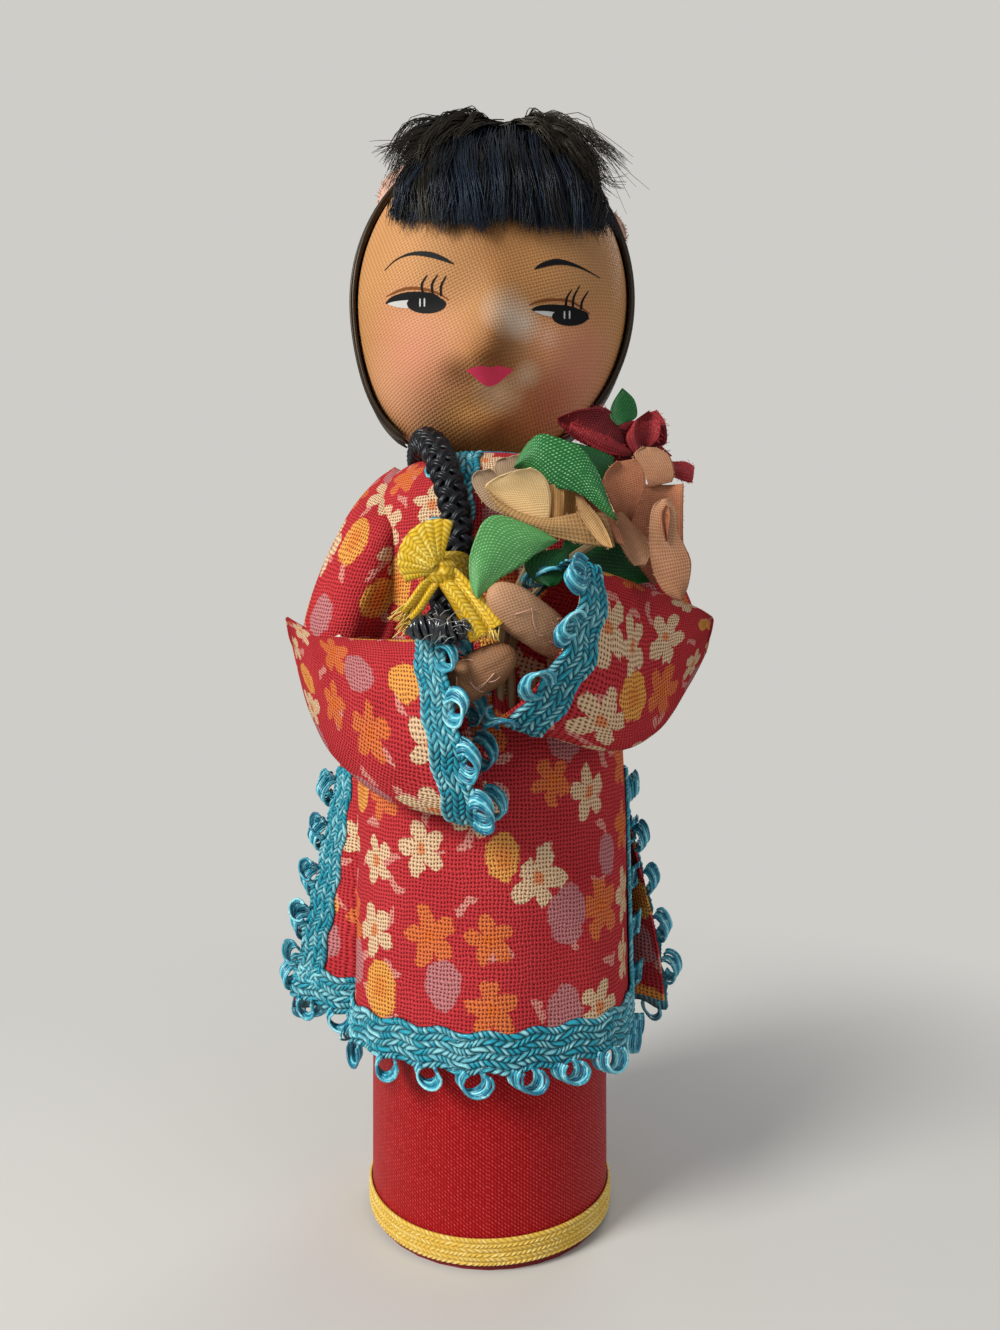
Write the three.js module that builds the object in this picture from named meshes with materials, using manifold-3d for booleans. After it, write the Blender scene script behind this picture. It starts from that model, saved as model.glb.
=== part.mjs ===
// A peg doll: a turned wooden peg wrapped in red satin, dressed in a printed cotton tunic with
// picot braid, with a silk-faced head on a neck dowel, a plait and a bouquet held in two hands.
// Millimetres, +Z up, the doll faces -Y, origin at the centre of the base's underside.
import * as THREE from "three";
import { mergeVertices } from "three/addons/utils/BufferGeometryUtils.js";
import Module from "manifold-3d";

const wasm = await Module();
wasm.setup();

// Clearances
const GLUE_GAP = 0.1;
const CLOTH_GAP = 0.35;
const TRIM_GAP = 0.6;
const BORE_CLEARANCE = 0.15;

// Peg and base
const PEG_RADIUS = 15.7;
const PEG_HEIGHT = 99;
const PEG_SHOULDER_HEIGHT = 9;
const PEG_TOP_RADIUS = 8.6;
const BASE_DISC_THICKNESS = 0.6;
const BASE_DISC_INSET = 0.3;
const SATIN_THICKNESS = 0.4;
const SATIN_HEIGHT = 64;
const BASE_RIBBON_WIDTH = 2.7;
const BASE_RIBBON_THICKNESS = 0.4;
const BASE_RIBBON_LIFT = 0.2;
const ROUND_SEGMENTS = 32;

// Neck and head
const DOWEL_RADIUS = 3.5;
const DOWEL_IN_PEG = 16;
const DOWEL_IN_HEAD = 14;
const DOWEL_SEGMENTS = 24;
const NECK_LENGTH = 2.4;
const NECK_HOLE_RADIUS = 6;
const HEAD_HALF_WIDTH = 18;
const HEAD_HALF_DEPTH = 16.6;
const HEAD_HALF_HEIGHT = 21.4;
const HEAD_ROLL = 2;
const MASK_THICKNESS = 1.4;
const NOSE_HEIGHT = 2.6;
const NOSE_SPREAD = 3.4;
const NOSE_DROP = 12.2;
const HEAD_COLUMNS = 24;
const HEAD_ROWS = 14;

// Hair
const STRAND_THICKNESS = 1.3;
const STRAND_WIDTH = 4;
const STRAND_TOP_LATITUDE = 56;
const STRAND_BOTTOM_LATITUDE = -51;
const FRINGE_THICKNESS = 2.8;
const FRINGE_HALF_ANGLE = 53;
const FRINGE_BOTTOM_LATITUDE = 11.5;
const FRINGE_TOP_LATITUDE = 58;
const TUFT_HALF_WIDTH = 7.4;
const TUFT_PARTING = 2.2;
const TUFT_SINK = 1.8;
const TUFT_HALF_DEPTH = 9;
const TUFT_HALF_HEIGHT = 4.6;
const TUFT_FORWARD = 2.5;

// Collar, tunic and trims
const COLLAR_THICKNESS = 1.4;
const COLLAR_HEIGHT = 2.2;
const CLOTH_THICKNESS = 0.8;
const TUNIC_EASE = 1.2;
const HEM_HEIGHT = 27;
const HEM_FLARE = 2.2;
const HEM_WAVE = 0.35;
const HEM_WAVES = 7;
const SLIT_TOP = 60;
const SEAM_HALF_ANGLE = 1;
const FLAP_REACH = 8.5;
const FLAP_ANGLE = 17;
const FLAP_VALLEY = 1;
const BACK_REACH = 5.4;
const SHOULDER_SHARE = 0.24;
const TRIM_THICKNESS = 0.9;
const TRIM_BAND = 5.2;
const TRIM_BELOW_HEM = 1.3;
const SLIT_TRIM_ANGLE = 9;
const PICOT_DEPTH = 2;
const PICOT_PITCH = 6;

// Sleeves, arms and hands
const SLEEVE_WALL = 0.9;
const LOFT_RINGS = 6;
const LOFT_SIDES = 12;
const ARM_RADIUS = 1.4;
const HAND_RADIUS = 2.1;
const HAND_FLATNESS = 0.85;

// Plait and bow
const PLAIT_RADIUS = 2.3;
const PLAIT_ROOT_SHARE = 0.4;
const PLAIT_BINDING_LENGTH = 4;
const BOW_BAND_THICKNESS = 0.6;
const BOW_BAND_LENGTH = 2.6;
const BOW_RIBBON_THICKNESS = 0.5;

// Bouquet
const STEM_RADIUS = 0.5;
const PETAL_THICKNESS = 0.5;
const LEAF_THICKNESS = 0.5;

// Heights and radii that follow from the sizes above
const pegBottom = BASE_DISC_THICKNESS + GLUE_GAP;
const pegTop = pegBottom + PEG_HEIGHT;
const shoulderZ = pegTop - PEG_SHOULDER_HEIGHT;
const satinInside = PEG_RADIUS + GLUE_GAP;
const satinOutside = satinInside + SATIN_THICKNESS;
const boreRadius = DOWEL_RADIUS + BORE_CLEARANCE;
const headBottom = pegTop + NECK_LENGTH;
const headCentre = headBottom + HEAD_HALF_HEIGHT;
const dowelBottom = pegTop - DOWEL_IN_PEG;
const dowelTop = headBottom + DOWEL_IN_HEAD;
const collarOutside = PEG_TOP_RADIUS - CLOTH_GAP;
const collarInside = collarOutside - COLLAR_THICKNESS;

// Finishes
const finish = (color, roughness) => new THREE.MeshStandardMaterial({ color, roughness, metalness: 0 });
const woodFinish = finish(0xc9a06c, 0.7);
const cardFinish = finish(0x7d1d1e, 0.8);
const satinFinish = finish(0xa6161f, 0.45);
const yellowRibbonFinish = finish(0xe0b24a, 0.4);
const silkFinish = finish(0xc58a55, 0.5);
const stuffingFinish = finish(0xe6dcc8, 0.9);
const hairFinish = finish(0x17171b, 0.4);
const printFinish = finish(0xb5323a, 0.85);
const braidFinish = finish(0x2f9fb4, 0.35);
const handFinish = finish(0xb98660, 0.6);
const peachFinish = finish(0xcf9f74, 0.6);
const crimsonFinish = finish(0x7c1220, 0.6);
const leafFinish = finish(0x2c8a46, 0.5);
const wireFinish = finish(0xcdb891, 0.7);

const doll = new THREE.Group();

function add(name, geometry, material) {
  const mesh = new THREE.Mesh(geometry, material);
  mesh.name = name;
  doll.add(mesh);
  return geometry;
}

// Geometry helpers
const point = (x, y, z) => new THREE.Vector3(x, y, z);
const radians = THREE.MathUtils.degToRad;
const mix = THREE.MathUtils.lerp;
const smooth = (x) => THREE.MathUtils.smoothstep(x, 0, 1);

function signedVolume(geometry) {
  const position = geometry.getAttribute("position");
  const index = geometry.index;
  const [a, b, c] = [point(0, 0, 0), point(0, 0, 0), point(0, 0, 0)];
  let volume = 0;
  for (let i = 0; i < index.count; i += 3) {
    a.fromBufferAttribute(position, index.getX(i));
    b.fromBufferAttribute(position, index.getX(i + 1));
    c.fromBufferAttribute(position, index.getX(i + 2));
    volume += a.dot(b.cross(c)) / 6;
  }
  return volume;
}

// One closed skin facing outwards, with shared corners and no collapsed triangles.
function closed(geometry) {
  const loose = geometry.index ? geometry.toNonIndexed() : geometry;
  const bare = new THREE.BufferGeometry().setAttribute("position", loose.getAttribute("position"));
  const merged = mergeVertices(bare, 1e-4);
  const corners = merged.index.array;
  const kept = [];
  for (let i = 0; i < corners.length; i += 3) {
    const [a, b, c] = corners.slice(i, i + 3);
    if (a !== b && b !== c && c !== a) kept.push(a, b, c);
  }
  merged.setIndex(kept);
  if (signedVolume(merged) < 0) merged.setIndex(kept.reverse());
  return merged;
}

function reshape(geometry, place) {
  const position = geometry.getAttribute("position");
  for (let i = 0; i < position.count; i++) {
    const moved = place(point(position.getX(i), position.getY(i), position.getZ(i)));
    position.setXYZ(i, moved.x, moved.y, moved.z);
  }
  return closed(geometry);
}

// A thick sheet: fractions along, across and through it are placed in space.
function sheet(columns, rows, place) {
  const box = new THREE.BoxGeometry(1, 1, 1, columns, rows, 1);
  return reshape(box, (p) => place(p.x + 0.5, p.y + 0.5, p.z + 0.5));
}

// A turned solid from a profile of radius and height.
function turned(profile, segments = ROUND_SEGMENTS) {
  const points = profile.map(([radius, height]) => new THREE.Vector2(radius, height));
  return closed(new THREE.LatheGeometry(points, segments).rotateX(Math.PI / 2));
}

function ring(inside, outside, bottom, top, segments = ROUND_SEGMENTS) {
  const corners = [[inside, bottom], [outside, bottom], [outside, top], [inside, top], [inside, bottom]];
  return turned(corners, segments);
}

// A tube of even radius along a smooth route.
function tube(route, radius, steps, sides) {
  const outline = [];
  for (let i = 0; i < sides; i++) {
    const angle = (2 * Math.PI * i) / sides;
    outline.push(new THREE.Vector2(radius * Math.cos(angle), radius * Math.sin(angle)));
  }
  const options = { steps, extrudePath: route, bevelEnabled: false, curveSegments: sides };
  return closed(new THREE.ExtrudeGeometry(new THREE.Shape(outline), options));
}

// Flattened round sections, each with a centre, a wide half axis and a deep half axis: a point of the
// section a share along them, at a place on the unit circle, with both half axes shrunk.
function sectionsOf(sections) {
  const centres = new THREE.CatmullRomCurve3(sections.map((s) => s.centre));
  const wides = new THREE.CatmullRomCurve3(sections.map((s) => s.wide));
  const deeps = new THREE.CatmullRomCurve3(sections.map((s) => s.deep));
  const inset = (axis, shrink) => axis.setLength(Math.max(axis.length() - shrink, 0.2));
  return (t, x, y, shrink) => {
    const wide = inset(wides.getPoint(t), shrink).multiplyScalar(x);
    const deep = inset(deeps.getPoint(t), shrink).multiplyScalar(y);
    return centres.getPoint(t).add(wide).add(deep);
  };
}

function loft(sections, shrink, rings = LOFT_RINGS, sides = LOFT_SIDES) {
  const shape = sectionsOf(sections);
  const cylinder = new THREE.CylinderGeometry(1, 1, 1, sides, rings);
  return reshape(cylinder, (p) => shape(p.y + 0.5, p.x, p.z, shrink));
}

function ellipsoid(centre, halfWidth, halfDepth, halfHeight, columns = 20, rows = 12) {
  return reshape(new THREE.SphereGeometry(1, columns, rows), (p) =>
    point(centre.x + halfWidth * p.x, centre.y - halfDepth * p.z, centre.z + halfHeight * p.y),
  );
}

// Boolean helpers
function solidOf(geometry) {
  const vertProperties = new Float32Array(geometry.getAttribute("position").array);
  const triVerts = new Uint32Array(geometry.index.array);
  return new wasm.Manifold(new wasm.Mesh({ numProp: 3, vertProperties, triVerts }));
}

function geometryOf(solid) {
  const mesh = solid.getMesh();
  const position = new THREE.BufferAttribute(new Float32Array(mesh.vertProperties), 3);
  const made = new THREE.BufferGeometry().setAttribute("position", position);
  return made.setIndex(new THREE.BufferAttribute(new Uint32Array(mesh.triVerts), 1));
}

// The main body that a cut leaves, without any sliver beside it.
const SLIVER = 0.02;
const main = (solid) => solid.simplify(SLIVER).decompose().sort((a, b) => b.volume() - a.volume())[0];
const join = (a, b) => geometryOf(solidOf(a).add(solidOf(b)));
const take = (a, b) => geometryOf(main(solidOf(a).subtract(solidOf(b))));
const common = (a, b) => geometryOf(main(solidOf(a).intersect(solidOf(b))));

// The same skin moved outwards by a gap.
function grown(geometry, gap) {
  const larger = geometry.clone();
  larger.computeVertexNormals();
  const position = larger.getAttribute("position");
  const normal = larger.getAttribute("normal");
  for (let i = 0; i < position.count; i++) {
    const outwards = point(normal.getX(i), normal.getY(i), normal.getZ(i)).multiplyScalar(gap);
    position.setXYZ(i, position.getX(i) + outwards.x, position.getY(i) + outwards.y, position.getZ(i) + outwards.z);
  }
  larger.deleteAttribute("normal");
  return larger;
}

// A soft piece pressed back from its neighbours, so that it lies a cloth gap away from each.
function pressed(geometry, ...neighbours) {
  const reach = new THREE.Box3();
  const other = new THREE.Box3();
  return neighbours.reduce((piece, neighbour) => {
    reach.setFromBufferAttribute(piece.getAttribute("position")).expandByScalar(CLOTH_GAP);
    other.setFromBufferAttribute(neighbour.getAttribute("position"));
    if (!reach.intersectsBox(other)) return piece;
    return take(piece, grown(neighbour, CLOTH_GAP));
  }, geometry);
}

// Base: a card disc, the wooden peg with its bored top, the satin wrapped round it and a ribbon at the foot.
const discRadius = satinOutside - BASE_DISC_INSET;
add("base_disc", turned([[0, 0], [discRadius, 0], [discRadius, BASE_DISC_THICKNESS], [0, BASE_DISC_THICKNESS]]), cardFinish);

function pegProfile() {
  const profile = [[0, pegBottom], [PEG_RADIUS, pegBottom]];
  for (let i = 0; i <= 4; i++) {
    const angle = (Math.PI / 2) * (i / 4);
    const radius = PEG_TOP_RADIUS + (PEG_RADIUS - PEG_TOP_RADIUS) * Math.cos(angle);
    profile.push([radius, shoulderZ + PEG_SHOULDER_HEIGHT * Math.sin(angle)]);
  }
  profile.push([boreRadius, pegTop], [boreRadius, dowelBottom - GLUE_GAP], [0, dowelBottom - GLUE_GAP]);
  return profile;
}
add("wooden_peg", turned(pegProfile()), woodFinish);

const satinTop = pegBottom + SATIN_HEIGHT;
add("satin_wrap", ring(satinInside, satinOutside, pegBottom, satinTop), satinFinish);

const ribbonInside = satinOutside + GLUE_GAP;
const ribbonBottom = pegBottom + BASE_RIBBON_LIFT;
const ribbonOutside = ribbonInside + BASE_RIBBON_THICKNESS;
add("base_ribbon", ring(ribbonInside, ribbonOutside, ribbonBottom, ribbonBottom + BASE_RIBBON_WIDTH), yellowRibbonFinish);

// Neck dowel, glued in the peg; the head turns on its upper end.
const dowelProfile = [[0, dowelBottom], [DOWEL_RADIUS, dowelBottom], [DOWEL_RADIUS, dowelTop], [0, dowelTop]];
add("neck_dowel", turned(dowelProfile, DOWEL_SEGMENTS), woodFinish);

// The head leans to one side on its neck: a place on the upright head, moved by that lean.
function leaned(p) {
  const foot = point(0, 0, headBottom);
  return p.sub(foot).applyAxisAngle(point(0, 1, 0), radians(HEAD_ROLL)).add(foot);
}

// Head: a pressed core with a bore, a silk-covered face mask in front and a hair cap behind.
function headSkin(offset, noseHeight) {
  return reshape(new THREE.SphereGeometry(1, HEAD_COLUMNS, HEAD_ROWS), (p) => {
    const x = (HEAD_HALF_WIDTH + offset) * p.x;
    const y = -(HEAD_HALF_DEPTH + offset) * p.z;
    const z = (HEAD_HALF_HEIGHT + offset) * p.y;
    const away = (x * x + (z + NOSE_DROP) ** 2) / (2 * NOSE_SPREAD ** 2);
    const nose = p.z > 0 ? noseHeight * Math.exp(-away) : 0;
    return leaned(point(x, y - nose, headCentre + z));
  });
}

function headPoint(longitude, latitude, offset) {
  const [lon, lat] = [radians(longitude), radians(latitude)];
  const x = (HEAD_HALF_WIDTH + offset) * Math.cos(lat) * Math.sin(lon);
  const y = -(HEAD_HALF_DEPTH + offset) * Math.cos(lat) * Math.cos(lon);
  return leaned(point(x, y, headCentre + (HEAD_HALF_HEIGHT + offset) * Math.sin(lat)));
}

function upright(radius, bottom, top, segments) {
  return turned([[0, bottom], [radius, bottom], [radius, top], [0, top]], segments);
}

// The half of a head shell on one side of the ear line: side -1 is the face, side 1 the back.
function headHalf(side, outside) {
  const reach = 2 * (HEAD_HALF_HEIGHT + NOSE_HEIGHT);
  const half = new THREE.BoxGeometry(2 * reach, reach, 2 * reach);
  half.translate(0, side * (reach / 2 + CLOTH_GAP / 2), headCentre);
  const bowl = take(common(outside, closed(half)), headSkin(-MASK_THICKNESS, 0));
  const neckHole = upright(NECK_HOLE_RADIUS, headBottom - reach, headCentre, DOWEL_SEGMENTS);
  return take(bowl, neckHole);
}

const coreBore = upright(boreRadius, headBottom - DOWEL_IN_HEAD, dowelTop + CLOTH_GAP, DOWEL_SEGMENTS);
const headOutside = headSkin(0, 0);
add("head_core", take(headSkin(-MASK_THICKNESS - CLOTH_GAP, 0), coreBore), stuffingFinish);
add("face_mask", headHalf(-1, headSkin(0, NOSE_HEIGHT)), silkFinish);
add("hair_cap", headHalf(1, headOutside), hairFinish);

// Two flat strands of hair that frame the face and cover the edge of the mask.
function sideStrand(side) {
  return sheet(18, 1, (along, across, out) => {
    const latitude = mix(STRAND_TOP_LATITUDE, STRAND_BOTTOM_LATITUDE, along);
    const taper = 0.35 + 0.65 * Math.sin(Math.PI * (0.12 + 0.76 * along));
    const edge = headPoint(90 * side, latitude, CLOTH_GAP + STRAND_THICKNESS * out * taper);
    return edge.setY((across - 0.5) * STRAND_WIDTH);
  });
}
const strands = { left: sideStrand(-1), right: sideStrand(1) };
add("side_strand_left", strands.left, hairFinish);
add("side_strand_right", strands.right, hairFinish);

const fringe = sheet(14, 4, (along, across, out) => {
  const longitude = mix(-FRINGE_HALF_ANGLE, FRINGE_HALF_ANGLE, along);
  const latitude = mix(FRINGE_BOTTOM_LATITUDE, FRINGE_TOP_LATITUDE, across);
  const full = 0.7 + 0.3 * Math.sin(Math.PI * along);
  return headPoint(longitude, latitude, CLOTH_GAP + FRINGE_THICKNESS * out * full);
});
add("fringe", fringe, hairFinish);

function crownTuft(side) {
  const aside = TUFT_PARTING + side * (TUFT_HALF_WIDTH + CLOTH_GAP);
  const centre = leaned(point(aside, -TUFT_FORWARD, headCentre + HEAD_HALF_HEIGHT - TUFT_SINK));
  const lobe = ellipsoid(centre, TUFT_HALF_WIDTH, TUFT_HALF_DEPTH, TUFT_HALF_HEIGHT, 12, 8);
  return pressed(lobe, headOutside, fringe, strands.left, strands.right);
}
add("crown_tuft_left", crownTuft(-1), hairFinish);
add("crown_tuft_right", crownTuft(1), hairFinish);

// Collar: a band of braid round the neck, standing on the peg's flat top.
const collarBottom = pegTop + GLUE_GAP;
add("collar_band", ring(collarInside, collarOutside, collarBottom, collarBottom + COLLAR_HEIGHT, 32), braidFinish);

// Tunic: a front and a back panel, seamed at the sides down to the slits, hanging free below.
function tunicProfile(down, out) {
  const ease = TUNIC_EASE + out;
  if (down < SHOULDER_SHARE) {
    const angle = (Math.PI / 2) * (1 - down / SHOULDER_SHARE);
    const radius = PEG_TOP_RADIUS + (PEG_RADIUS + ease - PEG_TOP_RADIUS) * Math.cos(angle);
    return [radius, shoulderZ + (PEG_SHOULDER_HEIGHT + ease) * Math.sin(angle)];
  }
  const fall = (down - SHOULDER_SHARE) / (1 - SHOULDER_SHARE);
  return [PEG_RADIUS + ease + HEM_FLARE * fall, mix(shoulderZ, HEM_HEIGHT, fall)];
}

const fallAt = (z) => SHOULDER_SHARE + ((1 - SHOULDER_SHARE) * (shoulderZ - z)) / (shoulderZ - HEM_HEIGHT);

// How far a panel stands out beyond its plain profile, at an angle from the front and a height.
function stand(angle, z) {
  const open = smooth((SLIT_TOP - z) / (SLIT_TOP - HEM_HEIGHT));
  const fromLeft = Math.abs(angle > 180 ? angle - 270 : angle + 90);
  const fromRight = Math.abs(angle - 90);
  const edge = (from) => Math.max(0, 1 - from / FLAP_ANGLE) ** 1.4;
  const front = angle < 90 && angle > -90;
  const left = FLAP_REACH * edge(fromLeft);
  const right = front ? 0 : BACK_REACH * edge(fromRight);
  const valley = front ? FLAP_VALLEY * Math.exp(-(((fromLeft - FLAP_ANGLE - 3) / 5) ** 2)) : 0;
  const wave = HEM_WAVE * Math.cos(HEM_WAVES * radians(angle));
  return open * (left + right - valley + wave);
}

function tunicPoint(angle, down, out) {
  const [radius, z] = tunicProfile(down, out);
  const reach = radius + stand(angle, z);
  return point(reach * Math.sin(radians(angle)), -reach * Math.cos(radians(angle)), z);
}

const seams = {
  front: [-90 + SEAM_HALF_ANGLE, 90 - SEAM_HALF_ANGLE],
  back: [90 + SEAM_HALF_ANGLE, 270 - SEAM_HALF_ANGLE],
};

// Columns gather towards both edges, where the slits flare.
const gathered = (along) => 0.5 - 0.5 * Math.cos(Math.PI * along);

function panel([from, to]) {
  return sheet(22, 8, (along, down, out) =>
    tunicPoint(mix(from, to, gathered(along)), down, CLOTH_THICKNESS * out),
  );
}
const tunic = { front: panel(seams.front), back: panel(seams.back) };
add("tunic_front", tunic.front, printFinish);
add("tunic_back", tunic.back, printFinish);

const trimInside = CLOTH_THICKNESS + TRIM_GAP;
const trimTop = HEM_HEIGHT - TRIM_BELOW_HEM + TRIM_BAND;

// Braid along a hem, with a scalloped lower edge where its picot loops hang.
function hemTrim([from, to]) {
  const girth = radians(to - from) * (PEG_RADIUS + TUNIC_EASE + HEM_FLARE);
  const picots = Math.round(girth / PICOT_PITCH);
  return sheet(picots * 4, 1, (along, across, out) => {
    const picot = PICOT_DEPTH * Math.max(0, -Math.cos(2 * Math.PI * picots * along));
    const low = HEM_HEIGHT - TRIM_BELOW_HEM - picot;
    const placed = tunicPoint(mix(from, to, along), 1, trimInside + TRIM_THICKNESS * out);
    return placed.setZ(mix(low, trimTop, across));
  });
}
add("hem_trim_front", hemTrim(seams.front), braidFinish);
add("hem_trim_back", hemTrim(seams.back), braidFinish);

// Braid up the edge of a slit, from the hem trim to the top of the slit.
function slitTrim(edge, inwards) {
  const bottom = trimTop + CLOTH_GAP;
  return sheet(10, 2, (along, across, out) => {
    const angle = edge + inwards * SLIT_TRIM_ANGLE * across;
    const down = fallAt(mix(bottom, SLIT_TOP, along));
    return tunicPoint(angle, down, trimInside + TRIM_THICKNESS * out);
  });
}
add("slit_trim_front_left", slitTrim(seams.front[0], 1), braidFinish);
add("slit_trim_front_right", slitTrim(seams.front[1], -1), braidFinish);
add("slit_trim_back_right", slitTrim(seams.back[0], 1), braidFinish);
add("slit_trim_back_left", slitTrim(seams.back[1], -1), braidFinish);

// The tunic's whole outside, for pressing back what lies against it.
function tunicOutside() {
  const profile = [[0, HEM_HEIGHT], [tunicProfile(1, CLOTH_THICKNESS)[0], HEM_HEIGHT]];
  for (let i = 1; i <= 8; i++) profile.push(tunicProfile(SHOULDER_SHARE * (1 - i / 8), CLOTH_THICKNESS));
  profile.push([0, pegTop + TUNIC_EASE + CLOTH_THICKNESS]);
  return turned(profile);
}
const body = tunicOutside();

// Plait: a short root that lies round the neck under the hair, and a tail that swings from it.
const plaitRoute = new THREE.CatmullRomCurve3([
  point(-10.8, 3.4, 104.4), point(-12, -4, 103.6), point(-10.9, -11, 101.9), point(-8.7, -15.8, 99.4),
  point(-6.2, -19.6, 95.2), point(-4.6, -21.8, 90.4), point(-4.1, -23.8, 85.6), point(-4.7, -26.2, 81.6),
  point(-5.8, -28.4, 78.8),
]);

// A stretch of the plait's route between two shares of its length.
class PlaitStretch extends THREE.Curve {
  constructor(from, to) {
    super();
    this.from = from;
    this.to = to;
  }

  getPoint(t) {
    return plaitRoute.getPointAt(mix(this.from, this.to, t));
  }
}
const plaitSplit = (CLOTH_GAP / 2) / plaitRoute.getLength();
const plaitRoot = new PlaitStretch(0, PLAIT_ROOT_SHARE - plaitSplit);
const plaitTail = new PlaitStretch(PLAIT_ROOT_SHARE + plaitSplit, 1);
const plaitRootSolid = pressed(tube(plaitRoot, PLAIT_RADIUS, 10, 10), body);
const plaitTailSolid = pressed(tube(plaitTail, PLAIT_RADIUS, 16, 10), body);
add("plait_root", plaitRootSolid, hairFinish);
add("plait_tail", plaitTailSolid, hairFinish);

// Sleeves: wide cotton tubes bent at the elbow, open at the cuff.
const section = (centre, wide, deep) => ({ centre: point(...centre), wide: point(...wide), deep: point(...deep) });
const sleeveShapes = {
  left: {
    upper: [
      section([-11.4, -3.6, 98], [-3.6, 0, 1.8], [0, 4.6, 1]),
      section([-14.2, -7, 92.5], [-5.8, 0, 1.6], [0, 6, 1.6]),
      section([-17, -11.4, 84], [-7.4, 0, 0.6], [0, 5.6, 1]),
      section([-18.6, -13.6, 75.5], [-5.2, 0, 0.4], [0, 3.8, 0.4]),
    ],
    fore: [
      section([-24.4, -11, 77], [0.8, 0, 3.6], [0.8, -2.6, 0]),
      section([-20.6, -14, 73.4], [1.6, 0, 7], [1.8, -4.4, 0]),
      section([-11.6, -20.8, 69.4], [-0.6, 0, 8.8], [1.6, -4.2, 0]),
      section([-2.6, -26, 66.6], [-2.6, 0, 10.3], [1.2, -4, 0]),
    ],
  },
  right: {
    upper: [
      section([11.4, -3.6, 98], [3.6, 0, 1.8], [0, 4.6, 1]),
      section([15.4, -7, 92.5], [5.8, 0, 1.6], [0, 6, 1.6]),
      section([19.6, -11, 85], [6.8, 0, 0.6], [0, 5.4, 1]),
      section([21.4, -13.2, 77], [5, 0, 0.4], [0, 3.8, 0.4]),
    ],
    fore: [
      section([27, -11, 77.4], [-0.4, 0, 3.6], [0.8, 2.6, 0]),
      section([23.4, -14.2, 74.6], [-0.6, 0, 7], [1.8, 4.4, 0]),
      section([14.8, -21.2, 74.6], [2, 0, 9], [1.6, 4, 0]),
      section([6.2, -26.6, 76.2], [3.1, 0, 9], [1.2, 3.8, 0]),
    ],
  },
};

// Arms: cotton-wound wires that run down inside the sleeves.
const armRoutes = {
  left: [point(-16.4, -12, 86), point(-18.4, -13.6, 80), point(-17, -17, 73.4), point(-9, -22.6, 69)],
  right: [point(18, -11.4, 86.5), point(20.8, -13, 81), point(19.8, -17, 75.6), point(13.4, -22.6, 74.8)],
};
const arm = (route) => tube(new THREE.CatmullRomCurve3(route), ARM_RADIUS, 10, 8);
const arms = { left: arm(armRoutes.left), right: arm(armRoutes.right) };

// Sections for the inside of a sleeve: closed at the start by a wall, and open past the cuff at the end.
function lined(sections, overrun) {
  const [first, second] = sections;
  const [before, last] = sections.slice(-2);
  const share = (2 * SLEEVE_WALL) / first.centre.distanceTo(second.centre);
  const start = {
    centre: first.centre.clone().lerp(second.centre, share),
    wide: first.wide.clone().lerp(second.wide, share),
    deep: first.deep.clone().lerp(second.deep, share),
  };
  const onwards = last.centre.clone().sub(before.centre).setLength(overrun);
  const end = { ...last, centre: last.centre.clone().add(onwards) };
  return [start, ...sections.slice(1, -1), end];
}

function sleeve({ upper, fore }, armInside) {
  const outside = join(loft(upper, 0), loft(fore, 0));
  const inside = join(loft(lined(upper, 0), SLEEVE_WALL), loft(lined(fore, 2 * SLEEVE_WALL), SLEEVE_WALL));
  const lining = pressed(inside, grown(body, SLEEVE_WALL));
  const cloth = take(pressed(outside, body, plaitRootSolid, plaitTailSolid), lining);
  return take(cloth, grown(armInside, CLOTH_GAP));
}
const sleeves = { left: sleeve(sleeveShapes.left, arms.left), right: sleeve(sleeveShapes.right, arms.right) };
add("sleeve_left", sleeves.left, printFinish);
add("sleeve_right", sleeves.right, printFinish);

// Braid round a cuff: a band that follows the last stretch of the forearm.
function cuffTrim({ fore }, ...neighbours) {
  const route = new THREE.CatmullRomCurve3(fore.map((part) => part.centre));
  const share = (TRIM_BAND + PICOT_DEPTH) / route.getLength();
  const band = [[1, 0], [2, 0], [2, 1], [1, 1], [1, 0]].map(([r, h]) => new THREE.Vector2(r, h));
  const shape = sectionsOf(fore);
  const trim = reshape(new THREE.LatheGeometry(band, LOFT_SIDES), (p) => {
    const layer = Math.hypot(p.x, p.z);
    const along = route.getUtoTmapping(1 - share * p.y);
    return shape(along, p.x / layer, p.z / layer, -CLOTH_GAP - TRIM_THICKNESS * (layer - 1));
  });
  return pressed(trim, body, ...neighbours);
}
const cuffs = {
  left: cuffTrim(sleeveShapes.left, plaitTailSolid),
  right: cuffTrim(sleeveShapes.right, sleeves.left),
};
add("cuff_trim_left", cuffs.left, braidFinish);
add("cuff_trim_right", cuffs.right, braidFinish);

// Hands: stuffed silk, one on the end of each arm, closed round the stems.
const handEnds = {
  left: [point(-7, -24.2, 69.4), point(2.6, -28.6, 75.2)],
  right: [point(10.6, -24.2, 74.8), point(0.8, -29.6, 81.6)],
};

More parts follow.
